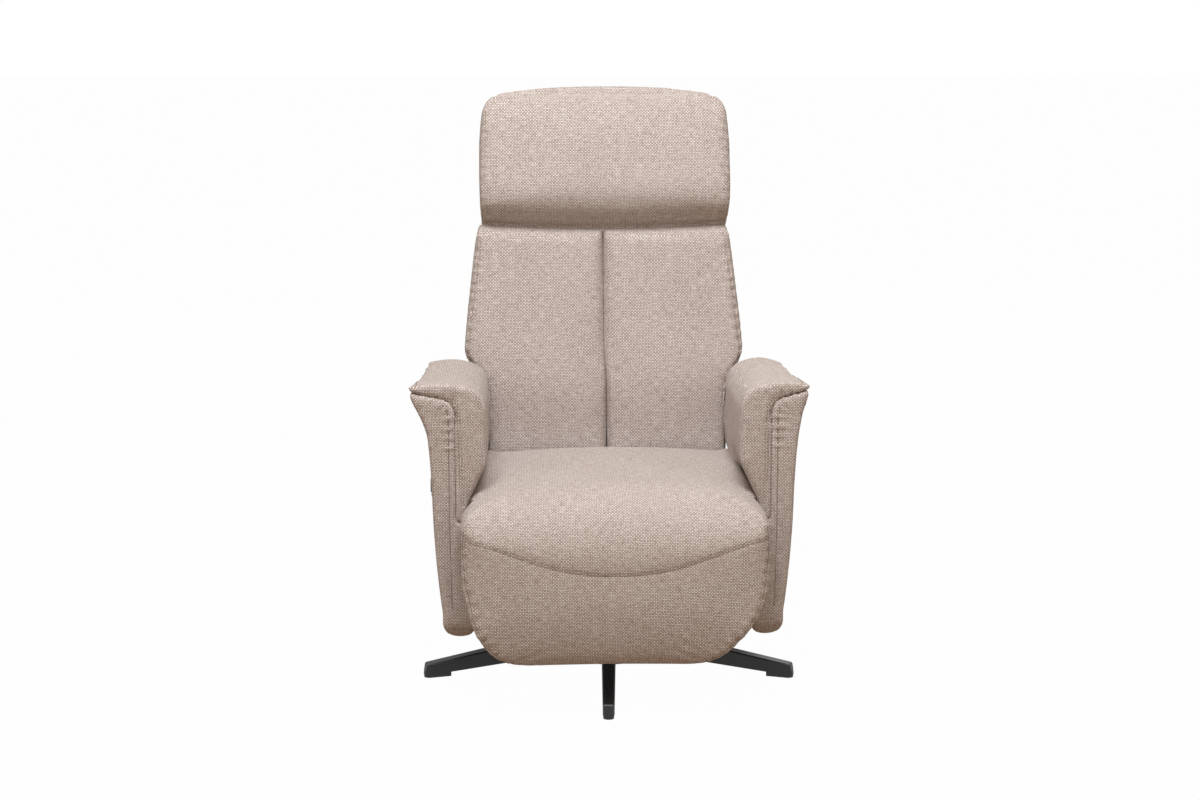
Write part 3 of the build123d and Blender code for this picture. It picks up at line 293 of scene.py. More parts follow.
def pucker(obj, path, depth, pitch, spread):
    """Small folds that run off a sewn edge, where the thread gathers the cloth."""
    points = points_of(obj)
    line = np.asarray([tuple(point) for point in path])
    run = np.concatenate(([0], np.cumsum(np.linalg.norm(np.diff(line, axis=0), axis=1))))
    margin, stride, sway, sway_length = 3 * spread, 3, 1.7, 2.4 * pitch
    near = np.all((points > line.min(axis=0) - margin) & (points < line.max(axis=0) + margin), axis=1)
    chosen = np.flatnonzero(near)
    apart = np.linalg.norm(points[chosen, None, :] - line[None, ::stride, :], axis=2)
    along = run[::stride][np.argmin(apart, axis=1)]
    fade = np.exp(-((np.min(apart, axis=1) / spread) ** 2))
    wave = np.sin(2 * math.pi * along / pitch + sway * np.sin(along / sway_length))
    points[chosen] += normals_of(obj)[chosen] * (depth * wave * fade)[:, None]
    move_to(obj, points)


def plump(obj, sewn, pressure, cap, frames=10):
    """Swells the cover between its seams, as stuffing does: a cloth simulation, then frozen."""
    before = points_of(obj)
    group = obj.vertex_groups.new(name="sewn")
    group.add([int(k) for k in np.flatnonzero(sewn)], 1.0, "REPLACE")
    cover = obj.modifiers.new("cover", "CLOTH")
    cover.settings.quality = 3
    cover.settings.mass = 0.3
    cover.settings.tension_stiffness = 12
    cover.settings.compression_stiffness = 12
    cover.settings.bending_stiffness = 0.4
    cover.settings.use_pressure = True
    cover.settings.uniform_pressure_force = pressure
    cover.settings.vertex_group_mass = "sewn"
    cover.settings.effector_weights.gravity = 0
    cover.collision_settings.use_collision = False
    for frame_number in range(1, frames + 1):
        bpy.context.scene.frame_set(frame_number)
    graph = bpy.context.evaluated_depsgraph_get()
    swollen = obj.evaluated_get(graph)
    after = np.empty(len(swollen.data.vertices) * 3)
    swollen.data.vertices.foreach_get("co", after)
    moved = after.reshape(-1, 3) - before
    length = np.linalg.norm(moved, axis=1, keepdims=True)
    obj.modifiers.clear()
    obj.vertex_groups.clear()
    bpy.context.scene.frame_set(1)
    move_to(obj, before + moved * (cap / (cap + length)))


def stitch_rows():
    """Node group: small thread stitches at an even pitch along a path of edges."""
    group = bpy.data.node_groups.new("stitch_rows", "GeometryNodeTree")
    face = group.interface
    face.new_socket("Geometry", in_out="INPUT", socket_type="NodeSocketGeometry")
    for socket_name in ("Pitch", "Stitch length", "Thread radius"):
        face.new_socket(socket_name, in_out="INPUT", socket_type="NodeSocketFloat")
    face.new_socket("Thread", in_out="INPUT", socket_type="NodeSocketMaterial")
    face.new_socket("Geometry", in_out="OUTPUT", socket_type="NodeSocketGeometry")
    nodes, links = group.nodes, group.links
    given, result = nodes.new("NodeGroupInput"), nodes.new("NodeGroupOutput")
    curve = nodes.new("GeometryNodeMeshToCurve")
    points = nodes.new("GeometryNodeCurveToPoints")
    points.mode = "LENGTH"
    bead = nodes.new("GeometryNodeMeshUVSphere")
    bead.inputs["Segments"].default_value = 6
    bead.inputs["Rings"].default_value = 5
    bead.inputs["Radius"].default_value = 1.0
    size = nodes.new("ShaderNodeCombineXYZ")
    turn = nodes.new("FunctionNodeAlignRotationToVector")
    turn.axis = "Z"
    spread = nodes.new("GeometryNodeInstanceOnPoints")
    solid = nodes.new("GeometryNodeRealizeInstances")
    paint = nodes.new("GeometryNodeSetMaterial")
    links.new(given.outputs["Geometry"], curve.inputs["Mesh"])
    links.new(curve.outputs["Curve"], points.inputs["Curve"])
    links.new(given.outputs["Pitch"], points.inputs["Length"])
    links.new(given.outputs["Thread radius"], size.inputs["X"])
    links.new(given.outputs["Thread radius"], size.inputs["Y"])
    links.new(given.outputs["Stitch length"], size.inputs["Z"])
    links.new(points.outputs["Tangent"], turn.inputs["Vector"])
    links.new(points.outputs["Points"], spread.inputs["Points"])
    links.new(bead.outputs["Mesh"], spread.inputs["Instance"])
    links.new(turn.outputs["Rotation"], spread.inputs["Rotation"])
    links.new(size.outputs["Vector"], spread.inputs["Scale"])
    links.new(spread.outputs["Instances"], solid.inputs["Geometry"])
    links.new(solid.outputs["Geometry"], paint.inputs["Geometry"])
    links.new(given.outputs["Thread"], paint.inputs["Material"])
    links.new(paint.outputs["Geometry"], result.inputs["Geometry"])
    return group


def frozen(name, rough):
    """The object's final form as a plain mesh, which takes its place."""
    graph = bpy.context.evaluated_depsgraph_get()
    mesh = bpy.data.meshes.new_from_object(rough.evaluated_get(graph))
    bpy.data.objects.remove(rough)
    return link(bpy.data.objects.new(name, mesh))


def stitches(name, paths, body, pitch=6.5 * mm, length=1.9 * mm, radius=0.6 * mm):
    """Top stitching along paths laid on the cloth, on one body."""
    mesh = bpy.data.meshes.new(name)
    points, edges = [], []
    for path in paths:
        start = len(points)
        points += [tuple(point) for point in path]
        edges += [(k, k + 1) for k in range(start, len(points) - 1)]
    mesh.from_pydata(points, edges, [])
    rough = link(bpy.data.objects.new(name, mesh))
    row = rough.modifiers.new("stitches", "NODES")
    row.node_group = thread_rows
    items = thread_rows.interface.items_tree
    given = {item.name: item.identifier for item in items if item.in_out == "INPUT"}
    row[given["Pitch"]] = pitch
    row[given["Stitch length"]] = length
    row[given["Thread radius"]] = radius
    row[given["Thread"]] = thread_and_seam_shadow
    obj = frozen(name, rough)
    obj.data.polygons.foreach_set("use_smooth", [True] * len(obj.data.polygons))
    if body:
        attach(obj, body)
    return obj


def piping_and_shadow_cord(name, paths, radius, material, body):
    """Raised line of a seam: a thin tube, half sunk in the cloth. In cloth it is piping; in dark thread it
    is a painted shadow line along the seam.
    """
    curve = bpy.data.curves.new(name, "CURVE")
    curve.dimensions = "3D"
    curve.bevel_depth = radius
    curve.bevel_resolution = 2
    curve.use_fill_caps = True
    for path in paths:
        spline = curve.splines.new("POLY")
        spline.points.add(len(path) - 1)
        spline.points.foreach_set("co", np.column_stack((path, np.ones(len(path)))).ravel())
    obj = frozen(name, link(bpy.data.objects.new(name, curve)))
    finish_cloth(obj, material)
    if body:
        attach(obj, body)
    return obj


def finish_cloth(obj, material, unrolled=None):
    """Lays the cloth map, in metres: by the face's main direction, or by the piece's own unrolling."""
    mesh = obj.data
    mesh.materials.clear()
    mesh.materials.append(material)
    mesh.polygons.foreach_set("use_smooth", [True] * len(mesh.polygons))
    points = points_of(obj)
    corners = np.empty(len(mesh.loops), dtype=np.int64)
    mesh.loops.foreach_get("vertex_index", corners)
    totals = np.empty(len(mesh.polygons), dtype=np.int64)
    mesh.polygons.foreach_get("loop_total", totals)
    face_of = np.repeat(np.arange(len(mesh.polygons)), totals)
    normal = np.empty(len(mesh.polygons) * 3)
    mesh.polygons.foreach_get("normal", normal)
    normal = np.abs(normal.reshape(-1, 3))[face_of]
    place = points[corners]
    squarely = 0.72
    faces_side, faces_up = (normal[:, 0] > squarely)[:, None], (normal[:, 2] > squarely)[:, None]
    flat = np.where(faces_up, place[:, (0, 1)], place[:, (0, 2)])
    if unrolled is not None:
        flat = unrolled(place)
    flat = np.where(faces_side, place[:, (1, 2)], flat)
    layer = mesh.uv_layers.new(name="cloth")
    layer.data.foreach_set("uv", flat.astype(np.float32).ravel())


cloth = woven_cloth("beige_basket_weave", yarn_light, yarn_dark, painted_gap_shade, weave_pitch)
thread_rows = stitch_rows()
# The thread colour serves the stitches, and the thin dark tubes that paint the seams' shadow lines.
thread_and_seam_shadow, nodes, links = new_material("sewing_thread_and_seam_shadow")
strands = nodes.new("ShaderNodeTexNoise")
strands.inputs["Scale"].default_value = strand_scale
twist = nodes.new("ShaderNodeValToRGB")
twist.color_ramp.elements[0].color = (*thread_and_shadow_dark, 1)
twist.color_ramp.elements[1].color = (*thread_and_shadow_light, 1)
links.new(strands.outputs["Fac"], twist.inputs["Fac"])
links.new(twist.outputs["Color"], nodes["Principled BSDF"].inputs["Base Color"])
nodes["Principled BSDF"].inputs["Roughness"].default_value = 0.7

seat_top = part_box("seat_cushion")[1][2]
panel_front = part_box("footrest_pad")[0][1]
nose_radius = 118 * mm
nose_y = panel_front + nose_radius
nose_z = seat_top - nose_radius


def unroll_front(place):
    """Cloth length over the seat's top, round the nose and down the front."""
    down = np.clip(nose_z - place[:, 2], 0, None)
    back = np.clip(place[:, 1] - nose_y, 0, None)
    angle = np.arctan2(np.clip(nose_y - place[:, 1], 0, None), np.clip(place[:, 2] - nose_z, 1e-6, None))
    angle = np.where(place[:, 2] < nose_z, math.pi / 2, angle)
    return np.stack((place[:, 0], back - nose_radius * angle - down), axis=1)


def smooth_step(values, start, end):
    """0 before start, 1 after end, and an even turn between them."""
    t = np.clip((values - start) / (end - start), 0, 1)
    return t * t * (3 - 2 * t)


slot_left, slot_right, slot_width = -229 * mm, 203 * mm, 26 * mm
slot_cover, slot_rear, slot_low, slot_high = 30 * mm, -250 * mm, 300 * mm, 385 * mm
hinge_slots = [
    box_corners((x, panel_front + slot_cover, slot_low), (x + slot_width, slot_rear, slot_high))
    for x in (slot_left, slot_right)
]
seat = foam("seat_and_front", ["seat_cushion", "seat_fold", "footrest_pad"], seat_voxel, plugs=hinge_slots)
relax(seat, seat_round_passes)

front_rise = (110 * mm, 235 * mm)
even_shift, left_shift, shift_half = 7 * mm, 11 * mm, 0.2


def low_shift(z, x):
    """How far the lower front is drawn to one side."""
    drawn = 1 - smooth_step(z, *front_rise)
    return drawn * (even_shift + left_shift * np.clip(x / shift_half, 0, 1))


# The seat's sides swell out under the arm pads, and its lower front is drawn in more on one side.
bulge, bulge_height, bulge_spread = 14 * mm, 392 * mm, 26 * mm
bulge_run, bulge_sides, wing_run = (60 * mm, -230 * mm), (190 * mm, 235 * mm), (-262 * mm, -240 * mm)
arm_inner, heel_height, heel_slope = 236 * mm, 448 * mm, 2.1
hug_share, hug_inner, hug_run, hug_rise = 0.25, 208 * mm, (-235 * mm, -110 * mm), (372 * mm, 388 * mm)
points = points_of(seat)
toward_front = smooth_step(points[:, 1], *bulge_run)
side_level = np.exp(-(((points[:, 2] - bulge_height) / bulge_spread) ** 2))
side_level *= smooth_step(np.abs(points[:, 0]), *bulge_sides)
behind_wings = smooth_step(points[:, 1], *wing_run)
points[:, 0] += np.sign(points[:, 0]) * bulge * toward_front * side_level * behind_wings
out = np.abs(points[:, 0])
heel = np.where(out < arm_inner, heel_height, heel_height - (out - arm_inner) * heel_slope)
hug = smooth_step(out, hug_inner, arm_inner) * smooth_step(points[:, 1], *hug_run)
hug *= smooth_step(points[:, 2], *hug_rise)
points[:, 2] += np.clip(heel - points[:, 2], 0, None) * hug * hug_share
points[:, 0] -= low_shift(points[:, 2], points[:, 0])
move_to(seat, points)

# Half of the curved seam as x and z, and the front's half outline as z and x.
smile = np.array([(0, 279.5), (48, 281.5), (97, 288.5), (145, 302), (190, 318), (240, 335), (274, 342)]) * mm
smile_x = np.linspace(-smile[-1, 0], smile[-1, 0], 90)
smile_z = np.interp(np.abs(smile_x), smile[:, 0], smile[:, 1])
front_half = np.array([(411, 276), (375, 281.5), (340, 285), (310, 285), (260, 281), (222, 271), (200, 266)])
front_half = np.vstack((front_half, [(172, 253), (146, 236), (124, 217), (110, 190)]))[::-1] * mm
border_inset, border_top = 8 * mm, 395 * mm
border_z = np.linspace(front_half[0, 0], border_top, 60)
border_x = np.interp(border_z, front_half[:, 0], front_half[:, 1]) - border_inset


def drop_smile(lift):
    """The curved seam, or a line above it, laid on the cloth."""
    starts = [(x, -far, z + lift) for x, z in zip(smile_x, smile_z)]
    return fine(on_cloth(seat, starts, backward))


def drop_border(side, inset):
    """The seam at one side of the front, or a line inside it, laid on the cloth."""
    shift = low_shift(border_z, side * border_x)
    starts = [(side * (x - inset) - d, -far, z) for x, z, d in zip(border_x, border_z, shift)]
    return fine(on_cloth(seat, starts, backward))


def front_lines(inset):
    """All three seams of the front, or lines beside them."""
    return [drop_smile(inset)] + [drop_border(side, inset) for side in (-1, 1)]


seams = front_lines(0)
fold_top, fold_front, shown_rear = 345 * mm, -340 * mm, 40 * mm
points = points_of(seat)
hidden = (points[:, 2] < fold_top) & (points[:, 1] > fold_front)
hidden |= points[:, 1] > shown_rear
near_seam = np.min([distance_to(seat, path) for path in seams], axis=0) < sewn_reach
plump(seat, hidden | near_seam, pressure=4.5, cap=12 * mm)
pucker(seat, seams[0], depth=0.35 * mm, pitch=17 * mm, spread=9 * mm)
for path in seams[1:]:
    pucker(seat, path, depth=0.8 * mm, pitch=21 * mm, spread=15 * mm)
for path in seams:
    draw_in(seat, path, depth=1.1 * mm, width=3.2 * mm)

# The upper panel stands a little proud of the lower one at the curved seam.
proud, proud_reach = 0.6 * mm, 16 * mm
points = points_of(seat)
over_seam = (points[:, 2] - np.interp(np.abs(points[:, 0]), smile[:, 0], smile[:, 1])) / proud_reach
front_face = np.clip(-normals_of(seat)[:, 1], 0, 1)
move_to(seat, points + normals_of(seat) * (np.clip(over_seam, -1, 1) * front_face * proud)[:, None])
finish_cloth(seat, cloth, unroll_front)
# Thin dark tubes in thread colour along the front's three seams: painted shadow lines of the seams.
front_seam_shadow = piping_and_shadow_cord("front_seam_painted_shadow", front_lines(0), 0.6 * mm, thread_and_seam_shadow, None)
front_stitches = stitches("front_stitches", front_lines(thread_inset), None)
for obj in (seat, front_seam_shadow, front_stitches):
    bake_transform(obj)
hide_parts("seat_cushion", "seat_fold", "footrest_pad")

# Arms. A slab of foam on a plywood panel, and a soft pad draped over it, with a flared welted edge.
# Both are wrapped in the same cloth, and the pad's front is closed by a double-stitched seam.
# Outlines of the front are x and z, and spans are where a change of shape starts and ends.
arm_voxel = 4.0 * mm
arm_round_passes = 9
pad_edge = [(350, 596), (333, 588), (307, 578), (297, 560), (294, 520), (293, 420), (290, 380), (286, 352)]
pad_edge = np.array(pad_edge) * mm
slab_fold = np.array([(352, 583), (330, 575), (306, 556), (303, 480)]) * mm
slab_seam = np.array([(306, 560), (303, 540), (303, 330), (300, 180)]) * mm
pad_turn, pad_crown = 290 * mm, 560 * mm
welt_x, welt_front, welt_rear = 345 * mm, -254 * mm, 60 * mm
fold_inset, row_insets = 3 * mm, (9 * mm, 14 * mm)
ear_rise, ear_sides, ear_run = (500 * mm, 590 * mm), (315 * mm, 350 * mm), (-262 * mm, -100 * mm)
ear_rear_share = 0.5
crown_rise, crown_sides, crown_run = (540 * mm, 575 * mm), (295 * mm, 350 * mm), (-240 * mm, -60 * mm)
inner_swell, inner_sides = 1.4 * mm, (237 * mm, 250 * mm)
heel_face, heel_share = 234.6 * mm, 0.9
heel_bottom, heel_top = (388 * mm, 412 * mm), (455 * mm, 470 * mm)
heel_sides, heel_run = (262 * mm, 285 * mm), (-110 * mm, -30 * mm)
pocket_front, pocket_rear, pocket_rim, pocket_room = 5 * mm, 4 * mm, 2 * mm, 3.5 * mm


def arm_shape(obj, side, ear, sink):
    """Draws the flare's front corner out, rounds the crown, and lets the inner face swell to the seat."""
    points = points_of(obj)
    out = side * points[:, 0]
    pull = smooth_step(points[:, 2], *ear_rise) * smooth_step(out, *ear_sides)
    pull *= ear_rear_share + (1 - ear_rear_share) * (1 - smooth_step(points[:, 1], *ear_run))
    points[:, 0] += side * ear * pull
    toward_rear = smooth_step(points[:, 1], *crown_run)
    drop = sink * smooth_step(points[:, 2], *crown_rise)
    points[:, 2] -= drop * toward_rear * smooth_step(out, *crown_sides)
    points[:, 0] -= side * inner_swell * (1 - smooth_step(out, *inner_sides))
    heel = smooth_step(points[:, 2], *heel_bottom) * (1 - smooth_step(points[:, 2], *heel_top))
    heel *= smooth_step(points[:, 1], *heel_run) * (1 - smooth_step(out, *heel_sides))
    points[:, 0] -= side * np.clip(out - heel_face, 0, None) * heel_share * heel
    move_to(obj, points)


def clear_pocket(slab):
    """Sinks the cloth at the bottom of the switch's pocket, so that the buttons have room to travel."""
    low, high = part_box("switch_plate")
    points = points_of(slab)
    inside = (points[:, 0] > low[0] + pocket_front) & (points[:, 0] < high[0] + pocket_rear)
    for axis in (1, 2):
        inside &= (points[:, axis] > low[axis] + pocket_rim) & (points[:, axis] < high[axis] - pocket_rim)
    points[inside, 0] += pocket_room
    move_to(slab, points)


def on_front(obj, side, outline, inset):
    """An outline of the arm's front, or a line inside it, laid on the cloth."""
    return fine(on_cloth(obj, [(side * (x - inset), -far, z) for x, z in outline], backward))


for side_name, side, ear, sink in (("left", 1, 3 * mm, 7 * mm), ("right", -1, 17 * mm, 1 * mm)):
    pad = foam(f"arm_pad_cloth_{side_name}", [f"arm_pad_{side_name}"], arm_voxel, swell=0)
    slab = foam(f"arm_slab_cloth_{side_name}", [f"arm_slab_{side_name}"], arm_voxel, swell=0.9 * mm)
    for obj in (pad, slab):
        relax(obj, arm_round_passes)
        arm_shape(obj, side, ear, sink)
    if side < 0:
        clear_pocket(slab)
    points = points_of(pad)
    plump(pad, (side * points[:, 0] > pad_turn) & (points[:, 2] < pad_crown), pressure=3.5, cap=6 * mm)
    fold_line = on_front(slab, side, slab_fold, 0)
    pucker(slab, fold_line, depth=1.5 * mm, pitch=17 * mm, spread=13 * mm)
    fold_line = on_front(pad, side, pad_edge[:5], fold_inset)
    pucker(pad, fold_line, depth=1.3 * mm, pitch=15 * mm, spread=13 * mm)
    for path in [on_front(pad, side, pad_edge[2:], inset) for inset in row_insets]:
        draw_in(pad, path, depth=1.0 * mm, width=3.5 * mm)
    rows = [on_front(pad, side, pad_edge[2:], inset) for inset in row_insets]
    stitches(f"arm_stitches_{side_name}", rows, "seat", radius=0.75 * mm)
    welt_run = [(side * (welt_x + ear), y, far) for y in np.linspace(welt_front, welt_rear, 40)]
    welt = fine(on_cloth(pad, welt_run, downward))
    draw_in(pad, welt, depth=1.2 * mm, width=4 * mm)
    stitches(f"arm_welt_stitches_{side_name}", [welt], "seat")
    draw_in(slab, on_front(slab, side, slab_seam, 0), depth=2.0 * mm, width=4 * mm)
    # A thin dark tube in thread colour along the slab's seam: painted shadow line of the seam.
    piping_and_shadow_cord(f"arm_seam_painted_shadow_{side_name}", [on_front(slab, side, slab_seam, 0)], 0.55 * mm, thread_and_seam_shadow, "seat")
    finish_cloth(pad, cloth)
    finish_cloth(slab, cloth)
    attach(pad, "seat")
    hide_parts(f"arm_pad_{side_name}")
    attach(slab, "seat")
    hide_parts(f"arm_slab_{side_name}")

# Back. Two tall foam panels side by side, each crowned, with a sewn groove between them.
# Piping runs down both outer edges, and a firm cover of the same cloth closes the back.
# It is shaped in its own upright frame: across, depth from the recline axis, and height over it.
back_voxel, rear_voxel = 4.3 * mm, 5 * mm
lean = math.radians(16)
recline_y, recline_z = 140 * mm, 320 * mm
into_back = (0, math.cos(lean), -math.sin(lean))
ahead_of_back = -0.4
leaf_x, leaf_minus, leaf_plus, leaf_front, leaf_rear = 155 * mm, 12 * mm, 14 * mm, -70 * mm, -20 * mm
bow_height, bow_reach, bow_skin = 514 * mm, (12 * mm, 75 * mm), (25 * mm, 55 * mm)
bow_rise, bow_half, bow_sag = 8.5 * mm, 240 * mm, 3.5 * mm
lip_bottom, lip_top, lip_skin = (514 * mm, 550 * mm), (555 * mm, 640 * mm), (60 * mm, 90 * mm)
tuck_depth, tuck_rise, tuck_skin = 20 * mm, (85 * mm, 215 * mm), (50 * mm, 85 * mm)
side_swell, side_rise, side_span = 2.4 * mm, (185 * mm, 215 * mm), (190 * mm, 225 * mm)
aside_shift, aside_rise = 4.5 * mm, (190 * mm, 270 * mm)


def leaned(corners):
    """From the back's own upright frame to its place in the chair."""
    u_v = np.asarray(corners, float)
    y = recline_y + u_v[:, 1] * math.cos(lean) + u_v[:, 2] * math.sin(lean)
    z = recline_z - u_v[:, 1] * math.sin(lean) + u_v[:, 2] * math.cos(lean)
    return np.stack((u_v[:, 0], y, z), axis=1)


def upright(points):
    """Depth and height of points in the back's own upright frame."""
    y, z = points[:, 1] - recline_y, points[:, 2] - recline_z
    return y * math.cos(lean) - z * math.sin(lean), y * math.sin(lean) + z * math.cos(lean)


def ahead(across, height):
    """Points ahead of the back, from which a line is laid on its cloth."""
    return leaned(np.stack((across, np.full(len(height), ahead_of_back), height), axis=1))


def on_back(obj, starts):
    """A line laid on the back's or the headrest's cloth."""
    return fine(on_cloth(obj, starts, into_back))


def leaf_plug(side, v_low, v_high):
    """A block that closes the slot of one of the headrest's leaves."""
    low = (side * leaf_x - leaf_minus, leaf_front, v_low)
    high = (side * leaf_x + leaf_plus, leaf_rear, v_high)
    corners, faces = box_corners(low, high)
    return [tuple(corner) for corner in leaned(corners)], faces


def bow_seam(obj, lip):
    """The seam between back and headrest hangs lower at the middle, and the headrest's lip is full."""
    points = points_of(obj)
    depth, height = upright(points)
    near = 1 - smooth_step(np.abs(height - bow_height), *bow_reach)
    near *= smooth_step(-depth, *bow_skin)
    rise = (bow_rise * (points[:, 0] / bow_half) ** 2 - bow_sag) * near
    swell = lip * smooth_step(height, *lip_bottom) * (1 - smooth_step(height, *lip_top))
    swell *= smooth_step(-depth, *lip_skin)
    points[:, 1] += rise * math.sin(lean) - swell * math.cos(lean)
    points[:, 2] += rise * math.cos(lean) + swell * math.sin(lean)
    move_to(obj, points)


def aside_at(height):
    """How far the back sits to one side."""
    return aside_shift * smooth_step(height, *aside_rise)


def tuck_at(height):
    """How far the lower back is drawn in."""
    return tuck_depth * (1 - smooth_step(height, *tuck_rise))


def settle_back(obj):
    """The back sits a little to one side, and its lower sides fill the room between the arms."""
    points = points_of(obj)
    depth, height = upright(points)
    tuck = tuck_at(height) * smooth_step(-depth, *tuck_skin)
    points[:, 1] += tuck * math.cos(lean)
    points[:, 2] -= tuck * math.sin(lean)
    low = 1 - smooth_step(height, *side_rise)
    points[:, 0] += np.sign(points[:, 0]) * side_swell * low * smooth_step(np.abs(points[:, 0]), *side_span)
    points[:, 0] -= aside_at(height)
    move_to(obj, points)


back_edge = np.array([(505, 247), (262, 276), (240, 270), (226, 256), (192, 238), (150, 234)]) * mm
piping_inset, piping_low, piping_high = 4 * mm, 150 * mm, 500 * mm
gather_height, gather_inner, gather_outer = 112 * mm, 6 * mm, 225 * mm
panel_slot, panel_rear = (460 * mm, 512 * mm), -45 * mm
for side_name, side in (("left", 1), ("right", -1)):
    plugs = [leaf_plug(side, *panel_slot)]
    panel = foam(f"back_panel_{side_name}", [f"back_cushion_{side_name}"], back_voxel, swell=0, plugs=plugs)
    relax(panel, passes=6)
    settle_back(panel)
    bow_seam(panel, lip=0)
    plump(panel, upright(points_of(panel))[0] > panel_rear, pressure=4.5, cap=12 * mm)
    v = np.linspace(piping_low, piping_high, 70)
    edge = np.interp(v, back_edge[::-1, 0], back_edge[::-1, 1]) - piping_inset
    outer_line = ahead(side * edge - aside_at(v), v)
    inner_line = outer_line + (-side * thread_inset, 0, 0)
    piping = on_back(panel, outer_line)
    pucker(panel, piping, depth=1.1 * mm, pitch=19 * mm, spread=17 * mm)
    across = side * np.linspace(gather_inner, gather_outer, 60)
    low_line = ahead(across, np.full(len(across), gather_height))
    pucker(panel, on_back(panel, low_line), depth=1.3 * mm, pitch=46 * mm, spread=26 * mm)
    draw_in(panel, piping, depth=1.5 * mm, width=4 * mm)
    finish_cloth(panel, cloth)
    piping_and_shadow_cord(f"back_piping_{side_name}", [on_back(panel, outer_line)], 1.6 * mm, cloth, "backrest")
    stitches(f"back_stitches_{side_name}", [on_back(panel, inner_line)], "backrest")
    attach(panel, "backrest")
    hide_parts(f"back_cushion_{side_name}")

# A dark tube in thread colour, sunk in the groove between the two panels: painted shadow of the groove.
groove_depth, groove_low, groove_high = -69 * mm, 120 * mm, 500 * mm
groove_v = np.linspace(groove_low, groove_high, 60)
groove = leaned(np.stack((-aside_at(groove_v), np.full(len(groove_v), groove_depth), groove_v), axis=1))
groove[:, 1] += tuck_at(groove_v) * math.cos(lean)
piping_and_shadow_cord("back_groove_painted_shadow", [groove], 2.6 * mm, thread_and_seam_shadow, "backrest")

rear = foam("back_rear_cloth", ["back_rear_cover"], rear_voxel, swell=0)
relax(rear, passes=9)
settle_back(rear)
finish_cloth(rear, cloth)
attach(rear, "backrest")
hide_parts("back_rear_cover")

# Headrest. A thick foam roll that leans forward over the back, with a rear cover of the same cloth.
# Its sides are sewn, and a full lip hangs over the seam to the back.
head_voxel, head_width_share, head_rear_depth = 4.6 * mm, 0.993, -25 * mm
head_slot, head_seam_x, head_seam_low, head_seam_high = (514.5 * mm, 590 * mm), 240 * mm, 545 * mm, 735 * mm
head_plugs = [leaf_plug(side, *head_slot) for side in (-1, 1)]
head = foam("headrest_cloth", ["headrest_cushion"], head_voxel, swell=0, plugs=head_plugs)
relax(head, passes=7)
plump(head, upright(points_of(head))[0] > head_rear_depth, pressure=4.5, cap=9 * mm)
points = points_of(head)
points[:, 0] *= head_width_share
move_to(head, points)
bow_seam(head, lip=9 * mm)
for side_name, side in (("right", -1), ("left", 1)):
    v = np.linspace(head_seam_low, head_seam_high, 50)
    outer_line = ahead(np.full(len(v), side * head_seam_x), v)
    inner_line = outer_line + (-side * thread_inset, 0, 0)
    line = on_back(head, outer_line)
    pucker(head, line, depth=0.9 * mm, pitch=17 * mm, spread=15 * mm)
    draw_in(head, line, depth=1.3 * mm, width=4 * mm)
    stitches(f"headrest_stitches_{side_name}", [on_back(head, inner_line)], "headrest")
finish_cloth(head, cloth)
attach(head, "headrest")
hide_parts("headrest_cushion")
head_rear = foam("headrest_rear_cloth", ["headrest_rear_cover"], rear_voxel, swell=0)
relax(head_rear, passes=12)
finish_cloth(head_rear, cloth)
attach(head_rear, "headrest")
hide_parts("headrest_rear_cover")

# Gusset between back and headrest. A strip of the same cloth round a soft core, sewn to both.
gusset_half, gusset_front, gusset_rear, gusset_round = 240 * mm, -71 * mm, 44 * mm, 22 * mm
gusset_low, gusset_high, gusset_rows, corner_steps = 480 * mm, 550 * mm, 24, 8
ring = []
for corner in range(4):
    x = (gusset_half - gusset_round) * (1 if corner in (0, 3) else -1)
    u = gusset_rear - gusset_round if corner < 2 else gusset_front + gusset_round
    for k in range(corner_steps + 1):
        angle = math.pi / 2 * (corner + k / corner_steps)
        ring.append((x + gusset_round * math.cos(angle), u + gusset_round * math.sin(angle)))
rows = np.linspace(gusset_low, gusset_high, gusset_rows)
corners = leaned([(x, u, v) for v in rows for x, u in ring])
count = len(ring)
faces = [
    (r * count + k, r * count + (k + 1) % count, (r + 1) * count + (k + 1) % count, (r + 1) * count + k)
    for r in range(gusset_rows - 1)
    for k in range(count)
]
faces += [tuple(range(count))[::-1], tuple(range((gusset_rows - 1) * count, gusset_rows * count))]
strip = bpy.data.meshes.new("headrest_gusset")
strip.from_pydata([tuple(corner) for corner in corners], [], faces)
gusset = link(bpy.data.objects.new("headrest_gusset", strip))
finish_cloth(gusset, cloth)
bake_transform(gusset)

# Steel, plastic and plywood pieces keep their solids and get their finishes here.
# Each finish has a fine grain in its surface, and slightly uneven tone and gloss.
broad_scale, gloss_spread, grain_bump = 14.0, 0.08, 0.3


